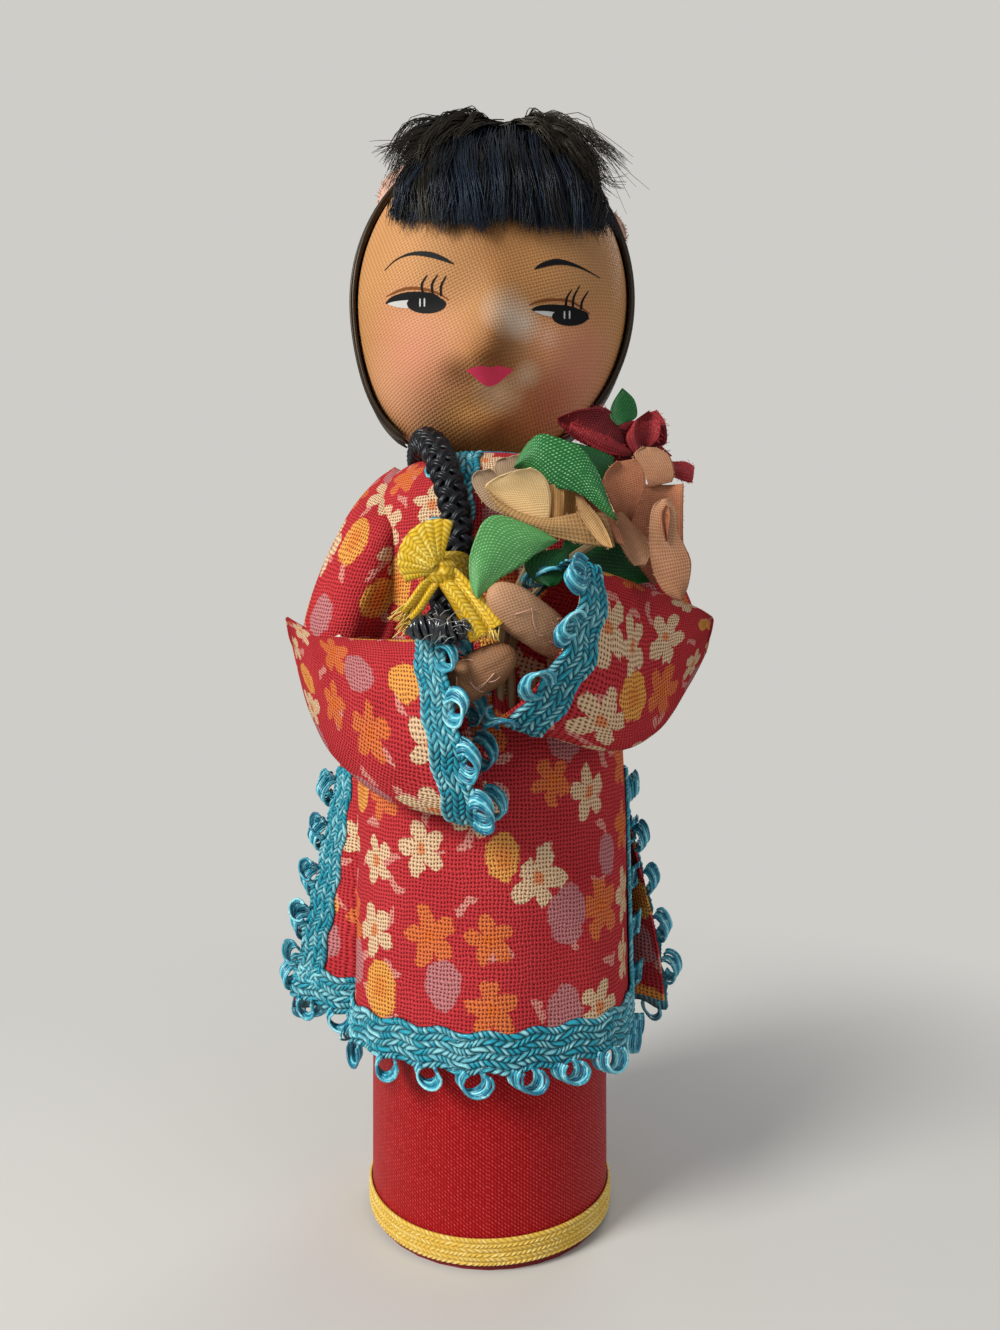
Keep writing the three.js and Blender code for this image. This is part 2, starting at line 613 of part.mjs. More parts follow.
function hand(side, ...neighbours) {
  const [wrist, tip] = handEnds[side];
  const along = tip.clone().sub(wrist);
  const deep = point(0, -1, 0).projectOnPlane(along.clone().normalize()).setLength(HAND_RADIUS * HAND_FLATNESS);
  const wide = along.clone().cross(deep).setLength(HAND_RADIUS);
  const swell = [0.55, 0.72, 0.86, 1, 0.92, 0.4];
  const sections = swell.map((size, i) => ({
    centre: wrist.clone().addScaledVector(along, i / (swell.length - 1)),
    wide: wide.clone().multiplyScalar(size),
    deep: deep.clone().multiplyScalar(size),
  }));
  return pressed(loft(sections, 0, 10, 12), ...neighbours);
}
add("arm_left", arms.left, stuffingFinish);
add("arm_right", arms.right, stuffingFinish);
const handRight = hand("right", arms.right, sleeves.right, cuffs.right);
const handLeft = hand("left", arms.left, sleeves.left, cuffs.left, cuffs.right, handRight);
add("hand_right", handRight, handFinish);
add("hand_left", handLeft, handFinish);

// Plait's end: a thread binding below the bow, and the yellow bow tied round the plait.
const bindingCentre = plaitTail.getPoint(1).add(point(0, -PLAIT_BINDING_LENGTH / 5, 0));
const bindingBlock = ellipsoid(bindingCentre, PLAIT_RADIUS * 1.5, PLAIT_RADIUS, PLAIT_BINDING_LENGTH / 2, 14, 8);
const binding = pressed(bindingBlock, plaitTailSolid, sleeves.left, cuffs.left, handLeft);
add("plait_binding", binding, hairFinish);

const BOW_PLACE = 0.66;
const bowCentre = plaitTail.getPoint(BOW_PLACE);
const bowAlong = plaitTail.getTangent(BOW_PLACE);
const bandInside = PLAIT_RADIUS + CLOTH_GAP;
const bandOutside = bandInside + BOW_BAND_THICKNESS;
const bandTurn = new THREE.Quaternion().setFromUnitVectors(point(0, 0, 1), bowAlong);
const bowBand = ring(bandInside, bandOutside, -BOW_BAND_LENGTH / 2, BOW_BAND_LENGTH / 2, 20)
  .applyQuaternion(bandTurn)
  .translate(bowCentre.x, bowCentre.y, bowCentre.z);
add("bow_band", bowBand, yellowRibbonFinish);

const bowFront = point(0, -1, 0).projectOnPlane(bowAlong).setLength(bandOutside);
const KNOT_HALF_WIDTH = 1.9;
const KNOT_HALF_DEPTH = 1.2;
const knotCentre = bowCentre.clone().add(bowFront).add(bowFront.clone().setLength(KNOT_HALF_DEPTH));
const bowKnot = pressed(ellipsoid(knotCentre, KNOT_HALF_WIDTH, KNOT_HALF_DEPTH + CLOTH_GAP, 1.7, 12, 8), bowBand);
add("bow_knot", bowKnot, yellowRibbonFinish);

// A length of bow ribbon from the knot to its end, widening on the way.
function bowRibbon(end, startWidth, endWidth, bulge, ...neighbours) {
  const along = end.clone().sub(knotCentre);
  const across = along.clone().cross(point(0, -1, 0)).normalize();
  const out = across.clone().cross(along).normalize();
  const strip = sheet(8, 2, (t, w, d) => {
    const width = mix(startWidth, endWidth, t);
    const lift = bulge * Math.sin(Math.PI * t) + (d - 0.5) * BOW_RIBBON_THICKNESS;
    const centre = knotCentre.clone().addScaledVector(along, t);
    return centre.addScaledVector(across, (w - 0.5) * width).addScaledVector(out, lift);
  });
  return pressed(strip, bowKnot, bowBand, plaitTailSolid, binding, ...neighbours);
}
const bowLoop = bowRibbon(knotCentre.clone().add(point(-5.2, 0.4, 6.4)), 1.4, 6, 0.9);
const bowTailLeft = bowRibbon(knotCentre.clone().add(point(-5.6, 0.2, -5)), 1.2, 2, 0.3, bowLoop, sleeves.left);
const bowTailRight = bowRibbon(knotCentre.clone().add(point(3.8, -1.2, -5.6)), 1.6, 3, 0.4, handLeft, handRight);
add("bow_loop", bowLoop, yellowRibbonFinish);
add("bow_tail_left", bowTailLeft, yellowRibbonFinish);
add("bow_tail_right", bowTailRight, yellowRibbonFinish);

// Bouquet: wire stems gripped behind the hands, layered cloth flowers and cloth leaves.
const flowerPlaces = {
  peach_flower_left: { base: point(7.6, -23.6, 89.4), faces: point(-0.2, -0.75, 0.63), size: 7.2, finish: peachFinish },
  peach_flower_right: { base: point(16.6, -20.6, 90.4), faces: point(0.28, -0.86, 0.42), size: 6.8, finish: peachFinish },
  crimson_flower: { base: point(13.6, -17.2, 97.6), faces: point(0.15, -0.5, 0.85), size: 7.2, finish: crimsonFinish },
};
const stemRoutes = {
  peach_flower_left: [point(1.4, -24.2, 68.6), point(1.8, -24.6, 78), point(4.6, -24.2, 85)],
  peach_flower_right: [point(2.7, -24.2, 68.2), point(3.2, -23.4, 78), point(9.6, -20.8, 86.4)],
  crimson_flower: [point(2.1, -22.8, 69), point(2.6, -22.2, 78), point(7.6, -19.2, 90)],
};
const PETAL_LAYERS = [1, 0.72];
const PETAL_LOBES = 5;
const PETAL_NOTCH = 0.3;
const PETAL_CUP = 0.085;

// One cloth layer of a flower: a cupped disc with rounded lobes, turned to face outwards.
function petalLayer({ base, faces, size }, layer) {
  const radius = size * PETAL_LAYERS[layer];
  const rings = [0, 0.5, 1];
  const under = rings.map((r) => [r * radius, 0]);
  const over = rings.map((r) => [r * radius, PETAL_THICKNESS]).reverse();
  const flat = turned([...under, ...over], PETAL_LOBES * 4);
  const turn = new THREE.Quaternion().setFromUnitVectors(point(0, 0, 1), faces.clone().normalize());
  const rise = STEM_RADIUS + CLOTH_GAP + layer * (PETAL_THICKNESS + 2 * CLOTH_GAP);
  return reshape(flat, (p) => {
    const angle = Math.atan2(p.y, p.x) + (layer * Math.PI) / PETAL_LOBES;
    const lobe = 1 - PETAL_NOTCH * (1 - Math.abs(Math.cos((PETAL_LOBES * angle) / 2))) * (p.length() / radius);
    const cupped = point(p.x * lobe, p.y * lobe, 0);
    cupped.z = p.z + rise + PETAL_CUP * (cupped.x ** 2 + cupped.y ** 2);
    return cupped.applyQuaternion(turn).add(base);
  });
}

const placed = [handRight, handLeft, cuffs.right, cuffs.left, sleeves.right, sleeves.left, body, binding];
placed.push(bowTailRight, bowTailLeft, bowKnot, plaitTailSolid, headOutside, strands.right);

for (const [name, flower] of Object.entries(flowerPlaces)) {
  const route = new THREE.CatmullRomCurve3([...stemRoutes[name], flower.base]);
  const stem = pressed(tube(route, STEM_RADIUS, 12, 6), ...placed);
  add(name + "_stem", stem, wireFinish);
  placed.push(stem);
}
for (const [name, flower] of Object.entries(flowerPlaces)) {
  PETAL_LAYERS.forEach((_, layer) => {
    const petals = pressed(petalLayer(flower, layer), ...placed);
    add(name + ["_outer_petals", "_inner_petals"][layer], petals, flower.finish);
    placed.push(petals);
  });
  const normal = flower.faces.clone().normalize();
  const height = STEM_RADIUS + PETAL_LAYERS.length * (PETAL_THICKNESS + 2 * CLOTH_GAP);
  const budRadius = flower.size * 0.24;
  const budCentre = flower.base.clone().addScaledVector(normal, height + budRadius);
  const bud = pressed(ellipsoid(budCentre, budRadius, budRadius, budRadius, 10, 8), ...placed);
  add(name + "_heart", bud, flower.finish);
  placed.push(bud);
}

// A leaf: a pointed blade bent along its length, from its root to its tip.
function leaf(root, tip, across, width, bend) {
  const along = tip.clone().sub(root);
  const side = across.clone().projectOnPlane(along.clone().normalize()).normalize();
  const out = along.clone().cross(side).normalize();
  return reshape(new THREE.SphereGeometry(1, 10, 8), (p) => {
    const t = (p.y + 1) / 2;
    const lift = bend * Math.sin(Math.PI * t) + (p.z * LEAF_THICKNESS) / 2;
    return root.clone().addScaledVector(along, t).addScaledVector(side, (p.x * width) / 2).addScaledVector(out, lift);
  });
}
const leaves = {
  leaf_top: leaf(point(13.6, -25.4, 92), point(4.4, -25.8, 100), point(1, 0.2, 1), 6.5, -1),
  leaf_low: leaf(point(7, -25.8, 88), point(-2.4, -30, 83.6), point(0.4, 0, 1), 6.4, 0.8),
  leaf_back: leaf(point(14.6, -16.6, 99.6), point(16, -16.6, 107.4), point(1, 0, 0), 4.2, 0.3),
  leaf_under: leaf(point(5, -24.8, 86.4), point(9.4, -26, 83), point(1, 0, 1), 4.4, 0.3),
};
for (const [name, blade] of Object.entries(leaves)) {
  const cut = pressed(blade, ...placed);
  add(name, cut, leafFinish);
  placed.push(cut);
}

// Neckline: a short length of braid down the chest from the collar, under the plait.
const NECKLINE_ANGLE = -22;
const NECKLINE_WIDTH_ANGLE = 13;
const NECKLINE_SHARE = [0.06, 0.3];
const neckline = sheet(8, 2, (along, across, out) => {
  const angle = NECKLINE_ANGLE + NECKLINE_WIDTH_ANGLE * (across - 0.5);
  return tunicPoint(angle, mix(...NECKLINE_SHARE, along), trimInside + TRIM_THICKNESS * out);
});
add("neckline_trim", pressed(neckline, sleeves.left, plaitRootSolid, plaitTailSolid), braidFinish);

export default doll;
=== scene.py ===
import math
import random

import bmesh
import bpy
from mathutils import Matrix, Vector, noise


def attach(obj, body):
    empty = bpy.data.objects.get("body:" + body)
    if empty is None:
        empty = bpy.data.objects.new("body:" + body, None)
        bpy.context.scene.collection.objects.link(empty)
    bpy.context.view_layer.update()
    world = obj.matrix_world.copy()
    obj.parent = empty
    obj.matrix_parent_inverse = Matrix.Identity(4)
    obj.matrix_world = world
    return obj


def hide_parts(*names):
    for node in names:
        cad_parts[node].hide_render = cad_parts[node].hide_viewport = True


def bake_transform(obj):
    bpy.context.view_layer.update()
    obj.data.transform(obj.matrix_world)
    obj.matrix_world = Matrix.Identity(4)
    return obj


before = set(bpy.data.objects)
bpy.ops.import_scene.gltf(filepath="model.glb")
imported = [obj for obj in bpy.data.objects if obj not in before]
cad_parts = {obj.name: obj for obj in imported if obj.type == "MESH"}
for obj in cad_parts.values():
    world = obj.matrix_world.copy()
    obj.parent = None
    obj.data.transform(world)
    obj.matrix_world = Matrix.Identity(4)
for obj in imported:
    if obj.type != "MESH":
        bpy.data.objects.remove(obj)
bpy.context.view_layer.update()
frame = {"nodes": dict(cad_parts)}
scene = bpy.context.scene
scene.view_settings.view_transform = "Standard"

# Stage: a pale floor that fades into the backdrop, under soft window light from the left and a weak fill.
# The camera stands level in front of the doll, close, with a short lens. Its picture is 1000 x 1330 points.
MM = 0.001
PICTURE_WIDE, PICTURE_TALL = 1000, 1330
PICTURE_FOCUS = 917
SENSOR_TALL = 36
CAMERA_X, CAMERA_Y, CAMERA_Z = 1.4, -128.0, 74
camera_data = bpy.data.cameras.new("front_camera")
camera_data.sensor_fit = "VERTICAL"
camera_data.sensor_height = SENSOR_TALL
camera_data.lens = PICTURE_FOCUS / PICTURE_TALL * SENSOR_TALL
camera_data.clip_start = 5 * MM
camera = bpy.data.objects.new("front_camera", camera_data)
camera.location = (CAMERA_X * MM, CAMERA_Y * MM, CAMERA_Z * MM)
camera.rotation_euler = (math.radians(90), 0, 0)
scene.collection.objects.link(camera)
scene.camera = camera


def lamp(name, place, aim, size, power, colour):
    data = bpy.data.lights.new(name, "AREA")
    data.shape = "DISK"
    data.size = size
    data.energy = power
    data.color = colour
    made = bpy.data.objects.new(name, data)
    made.location = place
    made.rotation_euler = (Vector(aim) - Vector(place)).to_track_quat("-Z", "Y").to_euler()
    scene.collection.objects.link(made)


lamp("window_light", (-0.4, -0.32, 0.36), (0, 0, 0.09), 0.24, 3.9, (1, 0.985, 0.95))
lamp("fill_light", (0.42, -0.36, 0.24), (0, 0, 0.08), 0.4, 0.5, (0.95, 0.97, 1))
lamp("back_light", (0.2, 0.42, 0.36), (0, 0, 0.1), 0.3, 0.6, (1, 1, 1))


class Field:
    """A value in a node tree. Arithmetic on it adds the nodes that work it out."""

    def __init__(self, tree, socket):
        self.tree = tree
        self.socket = socket

    def __add__(self, other):
        return calc(self.tree, "ADD", self, other)

    def __sub__(self, other):
        return calc(self.tree, "SUBTRACT", self, other)

    def __rsub__(self, other):
        return calc(self.tree, "SUBTRACT", other, self)

    def __mul__(self, other):
        return calc(self.tree, "MULTIPLY", self, other)

    def __truediv__(self, other):
        return calc(self.tree, "DIVIDE", self, other)

    def __pow__(self, other):
        return calc(self.tree, "POWER", self, other)

    def of(self, operation, *more):
        return calc(self.tree, operation, self, *more)

    def sharpened(self, sharpness):
        return (self * sharpness).of("MAXIMUM", 0.0).of("MINIMUM", 1.0)


def plug(tree, value, socket):
    if isinstance(value, Field):
        tree.links.new(value.socket, socket)
    else:
        socket.default_value = value


def calc(tree, operation, *values):
    step = tree.nodes.new("ShaderNodeMath")
    step.operation = operation
    for value, socket in zip(values, step.inputs):
        plug(tree, value, socket)
    return Field(tree, step.outputs[0])


class Looks:
    """The nodes of a material or of the world, with the steps that its colours are made in."""

    def __init__(self, owner):
        owner.use_nodes = True
        self.owner = owner
        self.tree = owner.node_tree

    def node(self, kind, inputs, **settings):
        made = self.tree.nodes.new("ShaderNode" + kind)
        for name, value in settings.items():
            setattr(made, name, value)
        for name, value in inputs.items():
            plug(self.tree, value, made.inputs[name])
        return made

    def take(self, output, kind, inputs, **settings):
        return Field(self.tree, self.node(kind, inputs, **settings).outputs[output])

    def split(self, value, kind="SeparateXYZ"):
        return [Field(self.tree, part) for part in self.node(kind, {0: value}).outputs]

    def mix(self, share, first, second, mode="MIX"):
        return self.take(2, "Mix", {0: share, 6: first, 7: second}, data_type="RGBA", blend_type=mode)

    def place(self):
        return self.take("Object", "TexCoord", {})

    def flat(self):
        """Places on the cloth as it lies flat, whole and as its two parts."""
        vector = self.take(0, "UVMap", {}, uv_map="flat")
        u, v, height = self.split(vector)
        return vector, u, v

    def speckle(self, vector, scale, detail=2.0):
        return self.take("Fac", "TexNoise", {"Scale": scale, "Detail": detail, "Vector": vector})

    def shader(self):
        return self.tree.nodes["Principled BSDF"]

    def emboss(self, height, distance, strength):
        bump = self.take(0, "Bump", {"Distance": distance, "Strength": strength, "Height": height})
        plug(self.tree, bump, self.shader().inputs["Normal"])

    def coat(self, colour, roughness, specular=0.5, tint=(1, 1, 1, 1)):
        """Gives the surface its colour and gloss, and returns the finished material."""
        gloss_and_painted_highlight = {"Roughness": roughness, "Specular IOR Level": specular, "Specular Tint": tint}
        for name, value in {"Base Color": colour, **gloss_and_painted_highlight}.items():
            plug(self.tree, value, self.shader().inputs[name])
        return self.owner


def new_looks(name):
    return Looks(bpy.data.materials.new(name))


PAPER = (0.62, 0.61, 0.58, 1)
SKY = (0.78, 0.8, 0.82, 1)
SKY_STRENGTH = 0.42
scene.world = bpy.data.worlds.new("studio")
sky = Looks(scene.world)
direct = sky.take("Is Camera Ray", "LightPath", {})
seen = direct.of("MAXIMUM", sky.take("Is Transmission Ray", "LightPath", {}))
background = sky.tree.nodes["Background"]
plug(sky.tree, sky.mix(seen, SKY, PAPER), background.inputs["Color"])
plug(sky.tree, seen * (1 - SKY_STRENGTH) + SKY_STRENGTH, background.inputs["Strength"])

FLOOR_REACH = 3
FADE_FROM, FADE_TO = 0.04, 0.17
floor_shape = bmesh.new()
bmesh.ops.create_grid(floor_shape, x_segments=1, y_segments=1, size=FLOOR_REACH)
floor_mesh = bpy.data.meshes.new("floor")
floor_shape.to_mesh(floor_mesh)
floor_shape.free()
floor = bpy.data.objects.new("floor", floor_mesh)
scene.collection.objects.link(floor)
paper = new_looks("pale_paper")
floor_mesh.materials.append(paper.coat(PAPER, 0.95, 0.1))
reach = paper.take("Value", "VectorMath", {0: paper.place()}, operation="LENGTH")
fade_and_tip_shade = paper.take("Result", "MapRange", {"Value": reach, "From Min": FADE_FROM, "From Max": FADE_TO},
                  interpolation_type="SMOOTHSTEP")
solid = Field(paper.tree, paper.shader().outputs[0])
fading = paper.take(0, "MixShader", {0: fade_and_tip_shade, 1: solid, 2: paper.take(0, "BsdfTransparent", {})})
plug(paper.tree, fading, paper.tree.nodes["Material Output"].inputs["Surface"])

# Base: a turned wooden peg wrapped in red satin whose diagonal weave shows, with a felt disc glued
# underneath. The satin is stretched round the peg and glued, its lower edge tucked in under the foot ribbon.


def add_piece(name, mesh, material):
    mesh.materials.append(material)
    made = bpy.data.objects.new(name, mesh)
    scene.collection.objects.link(made)
    return made


def dress(piece, body, node, slot):
    """Hangs a piece on a body, in place of a plain solid."""
    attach(piece, body)
    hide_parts(node)
    return piece


def bent_grid(name, columns, rows, place, flat, material, wrap=False):
    """A grid of cloth, each point placed by its shares along and across, with its flat place as UV (mm)."""
    shape = bmesh.new()
    bmesh.ops.create_grid(shape, x_segments=columns, y_segments=rows, size=0.5)
    uv = shape.loops.layers.uv.new("flat")
    for face in shape.faces:
        face.smooth = True
        for loop in face.loops:
            loop[uv].uv = flat(loop.vert.co.x + 0.5, loop.vert.co.y + 0.5)
    for vert in shape.verts:
        vert.co = Vector(place(vert.co.x + 0.5, vert.co.y + 0.5)) * MM
    if wrap:
        bmesh.ops.remove_doubles(shape, verts=shape.verts, dist=1e-7)
    mesh = bpy.data.meshes.new(name)
    shape.to_mesh(mesh)
    shape.free()
    return add_piece(name, mesh, material)


def thicken(piece, thickness, offset=0.0):
    wall = piece.modifiers.new("cloth", "SOLIDIFY")
    wall.thickness = thickness * MM
    wall.offset = offset
    return piece


def face_outwards(piece, inside):
    """Turns a grid over if its middle face looks at a point inside the object."""
    mesh = piece.data
    face = mesh.polygons[len(mesh.polygons) // 2]
    if face.normal.dot(face.center - Vector(inside) * MM) < 0:
        mesh.flip_normals()
    return piece


def plain_weave(along, across, along_pitch, across_pitch):
    """Height of the threads, 0 to 1, and how open the cloth is between them, 0 to 1."""
    a = (along * (math.pi / along_pitch)).of("SINE")
    b = (across * (math.pi / across_pitch)).of("SINE")
    thread_a, thread_b = a.of("ABSOLUTE"), b.of("ABSOLUTE")
    over = a * b * 0.5 + 0.5
    height = (thread_a * (over * 0.55 + 0.45)).of("MAXIMUM", thread_b * (1.0 - over * 0.55))
    return height, (1.0 - thread_a) * (1.0 - thread_b)


def satin_finish(name, colour, shade, glint_colour, pitch, slant):
    looks = new_looks(name)
    flat, u, v = looks.flat()
    rib = ((u * slant + v) * (2 * math.pi / pitch)).of("SINE")
    cross = (u * (2 * math.pi / (pitch * 0.8))).of("SINE")
    height = rib * 0.32 + cross * 0.18 + 0.5
    woven = looks.mix(height * 0.7 + looks.speckle(flat, 0.35, 4) * 0.3, shade, colour)
    # Painted highlight: pale glints on the raised threads, mixed into the colour in random specks.
    glint = (height - 0.68).sharpened(4) * (looks.speckle(flat, 1.6) - 0.38).sharpened(5)
    looks.emboss(height, 0.0002, 0.6)
    return looks.coat(looks.mix(glint * 0.6, woven, glint_colour), 0.5, 0.3, colour)


SATIN_RADIUS = 16.15
SATIN_BOTTOM = 0.7
SATIN_TOP = 64.7
SATIN_TUCK = 0.5
SATIN_TUCK_TALL = 0.8
SATIN_GIRTH = 101.5
SATIN_CLOTH = 0.3
SATIN_TWILL = 0.5
# The satin's third colour is a painted highlight, the pale glints on its threads.
satin_red = satin_finish("satin_red", (0.46, 0.014, 0.016, 1), (0.2, 0.004, 0.006, 1), (0.85, 0.12, 0.11, 1),
                         SATIN_TWILL, 0.75)


def satin_place(along, across):
    angle = 2 * math.pi * along
    z = SATIN_BOTTOM + (SATIN_TOP - SATIN_BOTTOM) * across
    tuck = SATIN_TUCK * max(0, 1 - (z - SATIN_BOTTOM) / SATIN_TUCK_TALL) ** 2
    uneven = noise.noise(Vector((3 * math.cos(angle), 3 * math.sin(angle), z * 0.1)))
    radius = SATIN_RADIUS - tuck + 0.05 * uneven
    return (radius * math.sin(angle), -radius * math.cos(angle), z)


def satin_flat(along, across):
    return along * SATIN_GIRTH, across * (SATIN_TOP - SATIN_BOTTOM)


satin = bent_grid("satin_cover", 96, 60, satin_place, satin_flat, satin_red, wrap=True)
thicken(face_outwards(satin, (0, 0, 30)), SATIN_CLOTH, -1)
dress(satin, "torso", "satin_wrap", "satin_red")


def plain_finish(name, colour, shade, scale, roughness):
    looks = new_looks(name)
    grain = looks.speckle(looks.place(), scale, 4)
    looks.emboss(grain, 0.0002, 0.4)
    return looks.coat(looks.mix(grain, shade, colour), roughness)


def recoat(node, material):
    """Gives a plain solid that is shown as it is its own material."""
    solid_shape = bpy.data.objects.get(node)
    if solid_shape:
        solid_shape.data.materials.clear()
        solid_shape.data.materials.append(material)


felt_finish = plain_finish("base_felt", (0.24, 0.012, 0.014, 1), (0.1, 0.006, 0.008, 1), 1500, 0.9)
wood_finish = plain_finish("peg_wood", (0.62, 0.4, 0.19, 1), (0.45, 0.26, 0.1, 1), 120, 0.65)
wool_finish = plain_finish("stuffing", (0.82, 0.76, 0.62, 1), (0.66, 0.58, 0.45, 1), 700, 0.9)
recoat("base_disc", felt_finish)
for node in ("wooden_peg", "neck_dowel"):
    recoat(node, wood_finish)
for node in ("head_core", "arm_left", "arm_right"):
    recoat(node, wool_finish)

# Tunic: open plain-weave cotton, red with a small scattered flower print, cut as a front and a back
# panel that are seamed at the sides as far as the slits and stand open below them.
PEG_RADIUS = 15.7
PEG_TOP_RADIUS = 8.6
SHOULDER_Z = 90.7
SHOULDER_HEIGHT = 9
TUNIC_EASE = 1.2
HEM_Z = 27
HEM_FLARE = 2.2
SLIT_TOP = 60
FLARE_TOP = 74
LEFT_STAND = 8.5
RIGHT_STAND = 5.4
STAND_ANGLE = 17
VALLEY_DEEP = 2.9
VALLEY_ANGLE = 18
VALLEY_WIDE = 3.6
HEM_WAVE = 0.35
CORNER_LIFT = 2.6
CORNER_ANGLE = 28
SHOULDER_SHARE = 0.24
FRONT_EDGES = (-89, 89)
BACK_EDGES = (91, 269)
CLOTH = 0.35
CLOTH_OUT = 0.42


def smooth(x):
    x = min(1, max(0, x))
    return x * x * (3 - 2 * x)


def tunic_profile(down, out):
    ease = TUNIC_EASE + out
    if down < SHOULDER_SHARE:
        angle = math.pi / 2 * (1 - down / SHOULDER_SHARE)
        radius = PEG_TOP_RADIUS + (PEG_RADIUS + ease - PEG_TOP_RADIUS) * math.cos(angle)
        return radius, SHOULDER_Z + (SHOULDER_HEIGHT + ease) * math.sin(angle)
    fall = (down - SHOULDER_SHARE) / (1 - SHOULDER_SHARE)
    return PEG_RADIUS + ease + HEM_FLARE * fall, SHOULDER_Z + (HEM_Z - SHOULDER_Z) * fall


def below_slit(z):
    return smooth((SLIT_TOP - z) / (SLIT_TOP - HEM_Z))


def stand_out(angle, z):
    """How far the cloth stands off the peg: at the slits' edges, with a valley beside the left one."""
    flare = min(1, max(0, (FLARE_TOP - z) / (FLARE_TOP - HEM_Z)))
    from_left = abs(angle - 270 if angle > 180 else angle + 90)
    from_right = abs(angle - 90)
    front = -90 < angle < 90
    left = LEFT_STAND * max(0, 1 - from_left / STAND_ANGLE) ** 1.4
    right = 0 if front else RIGHT_STAND * max(0, 1 - from_right / STAND_ANGLE) ** 1.4
    valley = VALLEY_DEEP * math.exp(-((from_left - VALLEY_ANGLE) / VALLEY_WIDE) ** 2) if front else 0
    wave = HEM_WAVE * math.cos(7 * math.radians(angle))
    return flare * left + below_slit(z) * (right - valley + wave)


def corner_lift(angle, z):
    """How far the front panel's left corner has curled up."""
    share = max(0, 1 - (angle + 90) / CORNER_ANGLE) if -90 < angle < 90 else 0
    return CORNER_LIFT * share ** 1.2 * below_slit(z)


def tunic_point(angle, down, out):
    radius, z = tunic_profile(down, out)
    reach = radius + stand_out(angle, z)
    turn = math.radians(angle)
    return Vector((reach * math.sin(turn), -reach * math.cos(turn), z + corner_lift(angle, z)))


def fall_at(z):
    return SHOULDER_SHARE + (1 - SHOULDER_SHARE) * (SHOULDER_Z - z) / (SHOULDER_Z - HEM_Z)


def motif_cells(looks, vector, size, loose):
    """Place within the nearest motif's cell, and three random numbers for that motif."""
    cells = looks.node("TexVoronoi", {"Scale": 1 / size, "Randomness": loose, "Vector": vector},
                       voronoi_dimensions="2D")
    middle, colour = (Field(looks.tree, cells.outputs[name]) for name in ("Position", "Color"))
    x, y, z = looks.split(looks.take(0, "VectorMath", {0: vector, 1: middle}, operation="SUBTRACT"))
    return x, y, looks.split(colour, "SeparateColor")


def bands(looks, value, stops):
    ramp = looks.node("ValToRGB", {0: value})
    ramp.color_ramp.interpolation = "CONSTANT"
    for element, (place, colour) in zip(ramp.color_ramp.elements, stops):
        element.position = place
        element.color = colour
    for place, colour in stops[2:]:
        ramp.color_ramp.elements.new(place).color = colour
    return Field(looks.tree, ramp.outputs[0])


CREAM = (0.82, 0.64, 0.38, 1)
ORANGE = (0.76, 0.17, 0.03, 1)
YELLOW = (0.86, 0.4, 0.06, 1)
MAUVE = (0.52, 0.2, 0.22, 1)
PINK = (0.78, 0.34, 0.28, 1)
SPRIG_SPACING = 4.6
SPRIG_LONG, SPRIG_WIDE = 1.7, 0.55
FLOWER_SPACING = 7.4
FLOWER_RADIUS = 2.9
HEART_RADIUS = 0.85
ORANGE_FROM, OVAL_FROM, MAUVE_FROM = 0.4, 0.53, 0.84
COTTON_PITCH = 0.45


